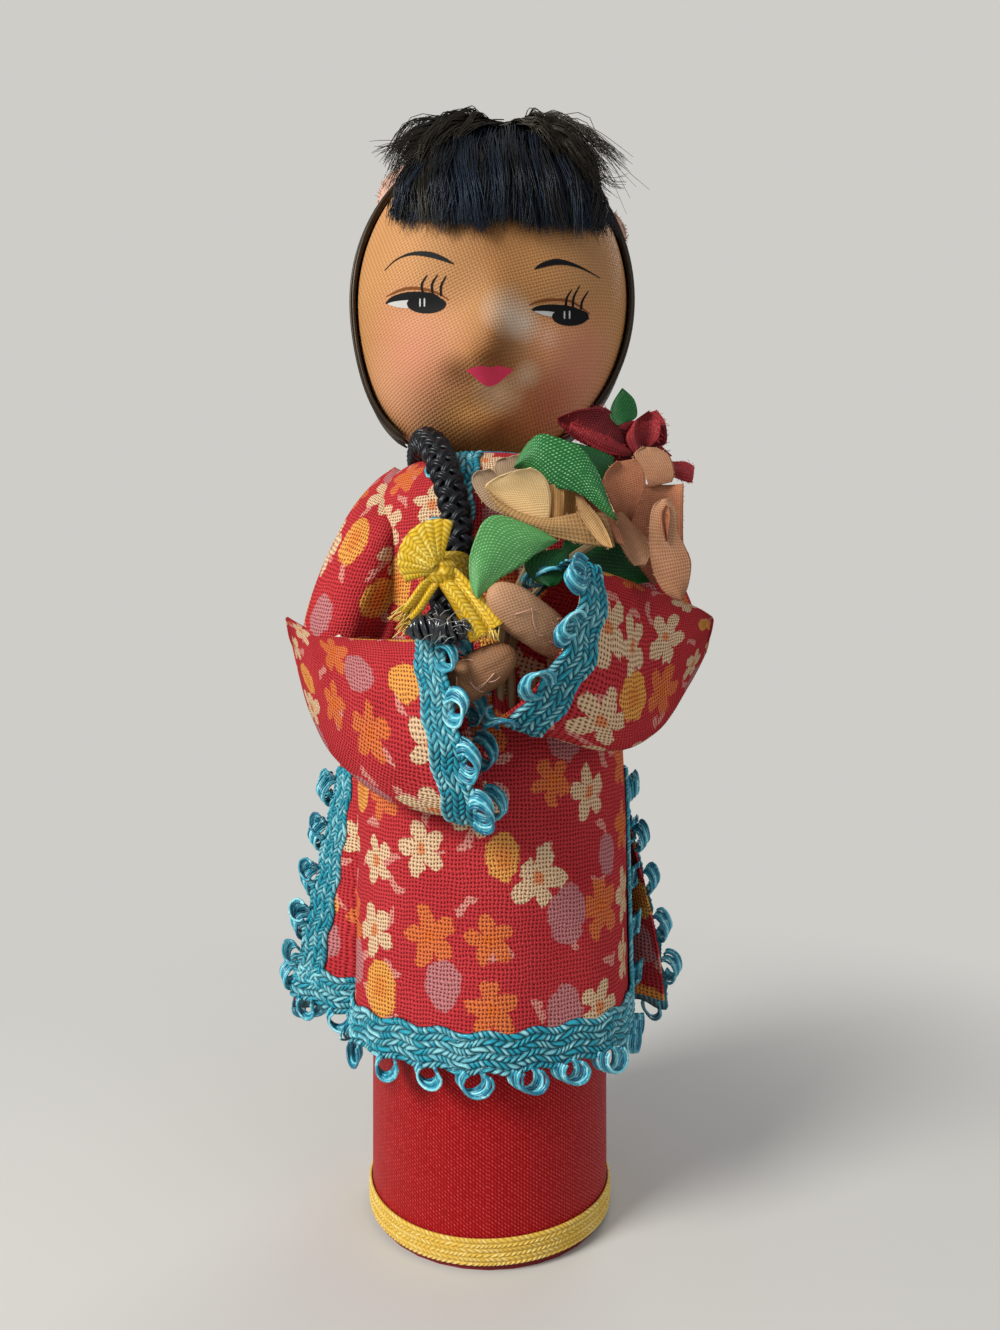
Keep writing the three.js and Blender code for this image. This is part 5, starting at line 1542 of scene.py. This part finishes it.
def loop_half(name, bulge, behind):
    """Half of the bow's loop, a fan of ribbed tape opening from the knot; the two halves meet at the rim."""
    def place(along, across):
        turn = LOOP_FROM + (LOOP_TO - LOOP_FROM) * across
        narrower = 1 - 0.36 * across - 0.1 * abs(2 * across - 1) ** 3
        reach = LOOP_ROOT + (LOOP_REACH - LOOP_ROOT) * along * narrower
        rib = 0.16 * abs(math.sin(math.pi * LOOP_RIBS * across)) * along
        thick = bulge * math.sqrt(max(0, 1 - along ** 2)) * (0.4 + 0.6 * math.sin(math.pi * across)) + rib
        return KNOT + Vector((math.cos(turn) * reach, -0.4 - thick - 0.6 * along, math.sin(turn) * reach))

    made = bent_grid(name, 24, 64, place, tape_flat(LOOP_REACH, LOOP_RIBS), tape_yellow)
    return thicken(face_outwards(made, KNOT + Vector((0, behind, 0))), THIN_TAPE)


dress(loop_half("bow_loop_front", 1.3, 20), "plait", "bow_loop", "bow_yellow")
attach(loop_half("bow_loop_back", -0.9, -20), "plait")

THIN_TAIL = [(-0.4, -0.4, -0.6), (-1.4, -0.9, -2.0), (-2.5, -0.6, -3.6), (-3.5, -0.2, -4.8)]
BROAD_TAIL = [(0.8, -0.5, -0.4), (2.4, -1.2, -2.4), (3.9, -1.4, -4.6), (5.2, -1.5, -6.7)]


def tail(name, steps, start_width, end_width, pleats, curl, thickness):
    """A flat tape from the knot along a line, spreading, with pleats that open towards its end."""
    spots = [KNOT + Vector(step) for step in steps]

    def place(along, across):
        spot = drawn_through(spots, along)
        ahead = drawn_through(spots, min(1, along + 0.02)) - drawn_through(spots, max(0, along - 0.02))
        side = ahead.normalized().cross(Vector((0.1, -1, 0.1))).normalized()
        width = start_width + (end_width - start_width) * along ** 0.8
        fold = 0.4 * math.sin(across * pleats * math.pi) * (0.3 + 0.7 * along)
        roll = curl * (2 * across - 1) ** 2 * along
        return spot + side * (across - 0.5) * width + Vector((0, -1, 0)) * (fold + roll)

    made = bent_grid(name, 36, 24, place, tape_flat(9, 6), tape_yellow)
    return thicken(face_outwards(made, spots[0] + Vector((0, 20, 0))), thickness)


thin_tail = tail("bow_tail_thin", THIN_TAIL, 1.5, 1.9, 3, 0.2, THIN_TAPE)
dress(thin_tail, "plait", "bow_tail_left", "bow_yellow")
broad_tail = tail("bow_tail_broad", BROAD_TAIL, 2.4, 3.9, 4, 0.3, TAPE_THICKNESS)
dress(broad_tail, "plait", "bow_tail_right", "bow_yellow")

THIN_END = KNOT + Vector((-3.2, -0.2, -4.5))
BROAD_END = KNOT + Vector((5.0, -1.5, -6.4))
THIN_FRAYS, BROAD_FRAYS = 36, 28
FRAY_RADIUS = 0.1
frays = []
for strand in range(THIN_FRAYS):
    start = THIN_END + strayed(0.5, 0.2, 0.6)
    reach = Vector((chance.uniform(-1.8, -0.4), chance.gauss(0, 0.2), chance.uniform(-1.6, -0.4)))
    frays.append((start, reach))
for strand in range(BROAD_FRAYS):
    start = BROAD_END + Vector((chance.uniform(-1.7, 1.5), 0, chance.uniform(-0.4, 0.5)))
    reach = Vector((chance.gauss(0.35, 0.3), chance.gauss(0, 0.15), chance.uniform(-1.2, -0.5)))
    frays.append((start, reach))
lines = [[(start, 1), (start + reach * 0.5, 0.9), (start + reach, 0.5)] for start, reach in frays]
thread_yellow = thread_finish("thread_yellow", (0.86, 0.62, 0.1, 1), (0.62, 0.38, 0.04, 1),
                              (0.95, 0.82, 0.4, 1), 0.5)
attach(thread_curves("bow_frayed_ends", lines, FRAY_RADIUS, thread_yellow, 0), "plait")

# Hands: two small mittens of tan silk stuffed firm, stitched flat across the palm and closed round the
# flower stems. The blue collar band under the chin is the tunic's own standing neck.
LEFT_WRIST, LEFT_FINGERS = (-7.4, -24.0, 69.0), (3.0, -28.8, 75.6)
RIGHT_WRIST, RIGHT_FINGERS = (11.0, -24.0, 74.4), (0.2, -30.0, 82.2)
LEFT_HAND_RADIUS, RIGHT_HAND_RADIUS = 2.25, 2.35
HAND_WEAVE = 0.34
HAND_THREADS = 7
HAND_THREAD_RADIUS = 0.07


def hand_silk(name, colour, shade):
    looks, place, woven = silk_weave(name, colour, shade, HAND_WEAVE)
    return looks.coat(woven, *SILK_GLOSS)


def mitten(side, wrist, tip, radius, material):
    wrist, tip = Vector(wrist), Vector(tip)
    way = (tip - wrist).normalized()
    across = way.cross(Vector((0, -1, 0.1))).normalized()
    out = across.cross(way).normalized()
    length = (tip - wrist).length

    def place(along, around):
        turn = 2 * math.pi * around
        blunt = math.sqrt(max(0, 1 - max(0, (along - 0.62) / 0.38) ** 2.4))
        girth = radius * (0.72 + 0.36 * smooth(along / 0.55)) * blunt
        seam = 1 - 0.1 * math.exp(-((math.cos(turn) - 0.25) / 0.12) ** 2) * smooth((along - 0.25) / 0.3)
        lumpy = 1 + 0.06 * noise.noise(Vector((along * 4, math.cos(turn) * 2, math.sin(turn) * 2)))
        lumpy += 0.035 * noise.noise(Vector((along * 13, math.cos(turn) * 3, math.sin(turn) * 3)))
        return (wrist + way * length * along + across * math.cos(turn) * girth * seam * lumpy
                + out * math.sin(turn) * girth * 0.86 * seam * lumpy)

    made = bent_grid(f"mitten_{side}", 36, 40, place, lambda a, b: (a * 12, b * 13), material, wrap=True)
    dress(turned_out(made), "torso", f"hand_{side}", "silk_hand")

    lines = []
    for thread in range(HAND_THREADS):
        along, around = chance.uniform(0.35, 0.8), chance.uniform(0.12, 0.38)
        drift, turn = chance.uniform(-0.25, 0.1), chance.uniform(-0.14, 0.14)
        line = []
        for k in range(7):
            spot = place(along + drift * k / 6, around + turn * math.sin(k / 3))
            line.append((spot + out * (0.06 + 0.08 * math.sin(k * math.pi / 6)), 1 - 0.1 * k))
        lines.append(line)
    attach(thread_curves(f"mitten_threads_{side}", lines, HAND_THREAD_RADIUS, silk_raw, 0), "torso")


silk_hand = hand_silk("silk_hand", (0.55, 0.3, 0.165, 1), (0.4, 0.2, 0.1, 1))
# The left mitten takes a darker copy of the same silk, painted shade for the hand that lies in shadow.
shaded_silk_hand = hand_silk("silk_hand_painted_shade", (0.3, 0.14, 0.064, 1), (0.19, 0.085, 0.036, 1))
mitten("left", LEFT_WRIST, LEFT_FINGERS, LEFT_HAND_RADIUS, shaded_silk_hand)
mitten("right", RIGHT_WRIST, RIGHT_FINGERS, RIGHT_HAND_RADIUS, silk_hand)

COLLAR_RADIUS = 8.3
COLLAR_LEAN = 0.5
COLLAR_Z, COLLAR_TALL = 99.85, 2.15
COLLAR_CLOTH = 0.5
# The collar's third colour is a painted highlight, pale glints on its threads.
collar_blue = satin_finish("collar_blue", (0.03, 0.26, 0.42, 1), (0.012, 0.12, 0.24, 1), (0.1, 0.4, 0.55, 1),
                           0.5, 0.3)


def collar_place(along, across):
    turn = 2 * math.pi * along
    radius = COLLAR_RADIUS - COLLAR_LEAN * across
    return radius * math.sin(turn), -radius * math.cos(turn), COLLAR_Z + COLLAR_TALL * across


collar = bent_grid("collar_cloth", 64, 6, collar_place, lambda a, b: (a * 50, b * 2.2), collar_blue,
                   wrap=True)
thicken(face_outwards(collar, (0, 0, COLLAR_Z)), COLLAR_CLOTH, -1)
dress(collar, "torso", "collar_band", "braid_blue")

# Bouquet: two peach flowers and a crimson one of stiffened cloth petals, with glossy green cloth leaves, on
# thin paper-wound stems held between the hands. Each cut is given by its two edges as points of the camera's
# picture, the depth at its foot and at its tip, how far it bellies out, and its cloth.
PETAL_LENGTH = 10.0
PETAL_WEAVE = 0.27
LEAF_ROW, LEAF_STITCH = 0.3, 0.46
CUT_THICKNESS = 0.1
CUT_LONG, CUT_WIDE = 22, 16
RIM_THREAD = 0.04
stem_wire = plain_finish("stem_wire", (0.42, 0.3, 0.15, 1), (0.26, 0.17, 0.08, 1), 900, 0.75)
for flower in ("peach_flower_left", "peach_flower_right", "crimson_flower"):
    recoat(f"{flower}_stem", stem_wire)


def petal_finish(name, tip_colour, foot_shade_colour, pitch=PETAL_WEAVE, frost=None):
    """Stiffened cloth, darker towards the petal's foot as painted shade inside the flower, its weave
    following the petal.
    """
    looks = new_looks(name)
    flat, u, v = looks.flat()
    along = (v / PETAL_LENGTH).sharpened(1.0)
    share = along * 0.75 + looks.speckle(flat, 0.6, 3) * 0.8 - 0.22
    height, gap = plain_weave(u, v, pitch, pitch)
    shaded = looks.mix(height, (0.56, 0.51, 0.46, 1), (1.28, 1.26, 1.24, 1))
    colour = looks.mix(1.0, looks.mix(share, foot_shade_colour, tip_colour), shaded, "MULTIPLY")
    if frost:
        dust = (looks.speckle(flat, 4) - 0.56).sharpened(7) * (along - 0.35).sharpened(2.5)
        colour = looks.mix(dust * 0.6, colour, frost)
    looks.emboss(height, 0.0001, 0.7)
    return looks.coat(colour, 0.62, 0.25)


def leaf_finish(name, colour, shade, glint_colour, fade_and_tip_shade=0.0):
    """Glossy ribbon, its fine rows of stitches slantwise across the leaf, with painted highlights on the
    stitches and painted shade that darkens it towards its tip by the given amount.
    """
    looks = new_looks(name)
    flat, u, v = looks.flat()
    line = ((v + u * 0.7) * (2 * math.pi / LEAF_ROW)).of("SINE") * 0.5 + 0.5
    stitch = ((u - v * 0.5) * (2 * math.pi / LEAF_STITCH)).of("SINE")
    height = line * (stitch * 0.4 + 0.6)
    # Painted shade: the leaf darkens towards its tip, where it turns away from the light.
    share = height * 0.6 + looks.speckle(flat, 0.3, 3) * 0.4 - v / PETAL_LENGTH * fade_and_tip_shade
    # Painted highlight: bright specks on the raised stitches, in the third colour.
    glint = (height * looks.speckle(flat, 1.8) - 0.3).sharpened(5)
    looks.emboss(height, 0.0001, 0.4)
    return looks.coat(looks.mix(glint, looks.mix(share, shade, colour), glint_colour), 0.42, 0.3)


def edge_line(spots, foot_y, tip_y):
    """A cut's edge in space, from its picture points and the depth at its foot and at its tip."""
    last = len(spots) - 1
    return [at_depth(px, py, foot_y + (tip_y - foot_y) * i / last) for i, (px, py) in enumerate(spots)]


def cut_cloth(name, first_edge, second_edge, foot_y, tip_y, belly, material):
    """A stiffened cut between two edges, bellied between them and curled a little forward at its rim."""
    first, second = edge_line(first_edge, foot_y, tip_y), edge_line(second_edge, foot_y, tip_y)
    wide = (drawn_through(first, 0.5) - drawn_through(second, 0.5)).length

    def place(along, across):
        spot = drawn_through(first, along).lerp(drawn_through(second, along), across)
        ripple = 0.1 * math.sin(7 * across + 5 * along + wide) * along
        rim = 0.24 * (2 * across - 1) ** 8 * along
        return spot + Vector((0, -1, 0)) * (belly * math.sin(math.pi * across) + ripple + rim)

    made = bent_grid(name, CUT_LONG, CUT_WIDE, place, lambda a, b: (b * wide, a * PETAL_LENGTH), material)
    if made.data.polygons[CUT_LONG * CUT_WIDE // 2].normal.y > 0:
        made.data.flip_normals()
    return made


def flower_part(name, node, slot, cuts):
    made = merged(name, [cut_cloth("petal", *cut) for cut in cuts])
    thicken(made, CUT_THICKNESS)
    made.modifiers.new("crisp rim", "WEIGHTED_NORMAL").weight = 100
    dress(made, "torso", node, slot)


def frayed_rims(name, cuts, per_edge, reach, material):
    """Short loose threads along the cut edges of petals."""
    lines = []
    for first_edge, second_edge, foot_y, tip_y, belly, cloth in cuts:
        for spots in (first_edge, second_edge):
            rim = edge_line(spots, foot_y, tip_y)
            for fray in range(per_edge):
                start = drawn_through(rim, chance.uniform(0.15, 1))
                end = start + strayed(reach, reach, reach)
                lines.append([(start.lerp(end, k / 2), 1 - 0.3 * k) for k in range(3)])
    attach(thread_curves(name, lines, RIM_THREAD, material, 0), "torso")


peach_pale = petal_finish("petal_peach_pale", (0.97, 0.71, 0.36, 1), (0.84, 0.53, 0.23, 1))
# The cup's cloth is darkened as painted shade, where the lower petals lie in shadow.
peach_cup = petal_finish("petal_peach_cup", (0.64, 0.39, 0.16, 1), (0.24, 0.12, 0.045, 1))
peach_gold = petal_finish("petal_peach_gold", (0.66, 0.38, 0.14, 1), (0.4, 0.18, 0.05, 1))
peach_grey = petal_finish("petal_peach_grey", (0.58, 0.43, 0.29, 1), (0.46, 0.3, 0.18, 1))
# The rosy and pink cloths are darkened copies, painted shade, used mostly on the right-hand flower, which
# lies in shadow.
shaded_peach_rosy = petal_finish("petal_shaded_peach_rosy", (0.47, 0.19, 0.095, 1), (0.2, 0.05, 0.022, 1))
shaded_peach_pink = petal_finish("petal_shaded_peach_pink", (0.54, 0.285, 0.16, 1), (0.34, 0.14, 0.068, 1))
crimson = petal_finish("petal_crimson", (0.34, 0.018, 0.026, 1), (0.07, 0.003, 0.005, 1), 0.36,
                       (0.6, 0.2, 0.18, 1))
# The big front crimson petal takes a darker copy of the crimson cloth, a painted shadow cast by the head.
shadowed_crimson = petal_finish("petal_shadowed_crimson", (0.2, 0.01, 0.014, 1), (0.045, 0.002, 0.004, 1), 0.3)
leaf_pale = leaf_finish("leaf_pale", (0.14, 0.41, 0.13, 1), (0.05, 0.22, 0.05, 1), (0.34, 0.66, 0.3, 1))
# The bright leaf darkens towards its tip as painted shade.
leaf_bright = leaf_finish("leaf_bright", (0.08, 0.36, 0.11, 1), (0.01, 0.11, 0.024, 1), (0.28, 0.6, 0.26, 1),
                          0.6)
# A dark copy of the leaf ribbon, painted shade for leaf parts that lie in shadow.
leaf_painted_shade = leaf_finish("leaf_painted_shade", (0.01, 0.12, 0.024, 1), (0.002, 0.035, 0.006, 1), (0.02, 0.2, 0.045, 1))
crimson_thread = plain_finish("crimson_thread", (0.5, 0.03, 0.045, 1), (0.3, 0.012, 0.02, 1), 900, 0.6)
peach_thread = plain_finish("peach_thread", (0.7, 0.42, 0.22, 1), (0.5, 0.28, 0.13, 1), 900, 0.6)

PEACH_LEFT_OUTER = [
    ([(515, 496), (499, 480), (494, 471), (496, 462), (504, 458)],
     [(535, 492), (526, 474), (523, 464), (521, 458), (517, 455)], -22.8, -23.4, 0.2, peach_grey),
    ([(515, 520), (489, 508), (475, 490), (472, 478), (478, 471)],
     [(524, 503), (510, 492), (499, 480), (494, 472), (489, 469)], -23.8, -25.2, 0.2, peach_grey),
    ([(615, 547), (592, 546), (565, 540), (537, 533), (515, 523), (496, 506), (485, 486)],
     [(606, 513), (583, 512), (562, 516), (545, 518), (521, 513), (501, 502), (486, 488)],
     -25.2, -27.6, 0.4, peach_cup),
    ([(581, 491), (590, 510), (604, 528), (615, 542)],
     [(588, 492), (606, 510), (617, 526), (623, 546)], -23.6, -24.6, 0.4, shaded_peach_rosy),
]
PEACH_LEFT_INNER = [
    ([(524, 524), (503, 508), (489, 493), (485, 486), (496, 478), (512, 472)],
     [(549, 522), (551, 503), (550, 490), (546, 479), (539, 472), (530, 468)], -26.0, -28.2, 0.3, peach_pale),
    ([(574, 490), (579, 513), (589, 530), (601, 544), (611, 548)],
     [(576, 490), (587, 503), (600, 519), (608, 535), (612, 548)], -25.8, -27.0, 0.1, peach_cup),
]
PEACH_LEFT_HEART = [
    ([(550, 520), (548, 501), (549, 485)],
     [(563, 519), (564, 501), (564, 485)], -25.6, -26.4, 0.3, peach_gold),
    ([(560, 522), (563, 501), (565, 486)],
     [(585, 524), (581, 503), (575, 487)], -24.6, -25.4, -0.6, peach_gold),
]
PEACH_RIGHT_OUTER = [
    ([(633, 542), (621, 522), (609, 499), (604, 477), (617, 461)],
     [(628, 526), (638, 506), (645, 486), (643, 470), (633, 459)], -20.6, -21.8, -0.3, shaded_peach_rosy),
    ([(649, 488), (644, 472), (634, 455), (644, 447)],
     [(672, 482), (674, 472), (669, 456), (656, 448)], -18.8, -18.6, 0.2, shaded_peach_pink),
    ([(654, 586), (633, 558), (623, 530), (628, 505), (642, 484)],
     [(684, 558), (683, 536), (683, 516), (683, 499), (683, 484)], -19.6, -18.8, -0.5, shaded_peach_rosy),
    ([(608, 514), (616, 536), (626, 556), (634, 566)],
     [(622, 512), (638, 530), (652, 546), (645, 565)], -21.8, -22.6, 0.3, shaded_peach_pink),
]
PEACH_RIGHT_INNER = [
    ([(679, 601), (664, 592), (653, 572), (649, 547), (649, 524), (652, 508), (660, 500)],
     [(681, 601), (688, 586), (691, 563), (685, 547), (677, 530), (676, 512), (668, 499)],
     -22.4, -23.6, 0.5, shaded_peach_pink),
]
PEACH_RIGHT_HEART = [
    ([(666, 541), (662, 524), (662, 512), (666, 505)],
     [(667, 541), (669, 527), (670, 516), (668, 506)], -24.1, -24.0, -0.3, shaded_peach_rosy),
]
CRIMSON_OUTER = [
    ([(632, 460), (606, 455), (589, 447), (572, 437), (557, 423)],
     [(624, 439), (616, 421), (605, 408), (579, 410), (558, 418)], -15.6, -17.4, -0.5, shadowed_crimson),
    ([(638, 453), (627, 441), (627, 428), (649, 411)],
     [(654, 446), (666, 443), (665, 423), (656, 410)], -15.2, -14.4, -0.6, crimson),
    ([(670, 476), (684, 481), (692, 482)],
     [(670, 462), (686, 462), (694, 468)], -14.6, -14.2, 0.4, crimson),
    ([(624, 442), (606, 423), (599, 412)],
     [(638, 442), (633, 423), (627, 416)], -13.8, -13.2, 0.4, crimson),
    ([(598, 446), (612, 462), (634, 474)],
     [(620, 428), (648, 436), (672, 456)], -14.2, -13.6, 0.3, crimson),
]
CRIMSON_INNER = [
    ([(633, 457), (608, 454), (585, 442), (569, 428)],
     [(630, 450), (613, 439), (592, 430), (571, 423)], -16.6, -18.0, 0.3, crimson),
    ([(638, 451), (636, 437), (640, 421)],
     [(649, 447), (659, 437), (660, 418)], -16.0, -15.6, -0.6, crimson),
]
CRIMSON_HEART = [
    ([(634, 456), (626, 439), (633, 423)],
     [(643, 451), (639, 435), (638, 420)], -16.2, -16.0, 0.7, crimson),
]

frayed_rims("crimson_fray", CRIMSON_OUTER + CRIMSON_INNER, 36, 0.3, crimson_thread)
PEACH_RIMS = PEACH_LEFT_OUTER + PEACH_LEFT_INNER + PEACH_RIGHT_OUTER + PEACH_RIGHT_INNER
frayed_rims("peach_fray", PEACH_RIMS, 26, 0.18, peach_thread)
for name, flower, slot, outer, inner, heart in (
        ("peach_left", "peach_flower_left", "petal_peach", PEACH_LEFT_OUTER, PEACH_LEFT_INNER,
         PEACH_LEFT_HEART),
        ("peach_right", "peach_flower_right", "petal_peach", PEACH_RIGHT_OUTER, PEACH_RIGHT_INNER,
         PEACH_RIGHT_HEART),
        ("crimson", "crimson_flower", "petal_crimson", CRIMSON_OUTER, CRIMSON_INNER, CRIMSON_HEART)):
    flower_part(f"{name}_outer", f"{flower}_outer_petals", slot, outer)
    flower_part(f"{name}_inner", f"{flower}_inner_petals", slot, inner)
    flower_part(f"{name}_centre", f"{flower}_heart", slot, heart)

LEAF_FRONT = ([(558, 541), (544, 532), (524, 523), (499, 515), (484, 521), (475, 539), (469, 561), (471, 587),
               (478, 599)],
              [(558, 541), (547, 548), (536, 554), (524, 564), (512, 572), (501, 578), (492, 586), (484, 593),
               (478, 599)], -26.4, -30.0, 0.5, leaf_pale)
LEAF_FOLDED = ([(514, 468), (522, 451), (532, 439), (543, 434), (563, 440), (580, 447), (590, 459),
                (600, 476), (607, 496), (616, 521)],
               [(514, 468), (524, 470), (533, 473), (544, 480), (553, 488), (567, 490), (581, 495),
                (592, 503), (604, 513), (616, 521)], -25.8, -27.2, 0.8, leaf_bright)
# The folded leaf's back part, in shadow, takes the dark copy as painted shade.
LEAF_FOLDED_BACK = ([(566, 441), (583, 445), (598, 450), (614, 458)],
                    [(572, 453), (589, 464), (601, 478), (611, 487)], -21.6, -19.6, 0.2, leaf_painted_shade)
LEAF_CROWN = ([(618, 426), (610, 417), (612, 404), (622, 389)],
              [(628, 422), (637, 416), (634, 400), (622, 389)], -16.6, -15.8, 0.3, leaf_painted_shade)
# A dark leaf put in the hollow between the flowers and the sleeve, where there is only shade: a painted
# shadow.
LEAF_HOLLOW = ([(560, 552), (574, 556), (596, 574), (622, 584), (650, 582)],
               [(566, 536), (584, 528), (604, 532), (628, 548), (650, 564)], -20.4, -19.0, -0.4, leaf_painted_shade)
LEAF_SHADED = ([(568, 550), (556, 549), (535, 554), (524, 565), (533, 580), (550, 587)],
               [(568, 550), (569, 560), (567, 572), (563, 580), (557, 585), (550, 587)],
               -25.2, -26.2, 0.5, leaf_painted_shade)

flower_part("leaf_front", "leaf_low", "leaf_green", [LEAF_FRONT])
flower_part("leaf_folded", "leaf_top", "leaf_green", [LEAF_FOLDED, LEAF_FOLDED_BACK])
flower_part("leaf_crown", "leaf_back", "leaf_green", [LEAF_CROWN])
flower_part("leaf_shaded", "leaf_under", "leaf_green", [LEAF_SHADED, LEAF_HOLLOW])
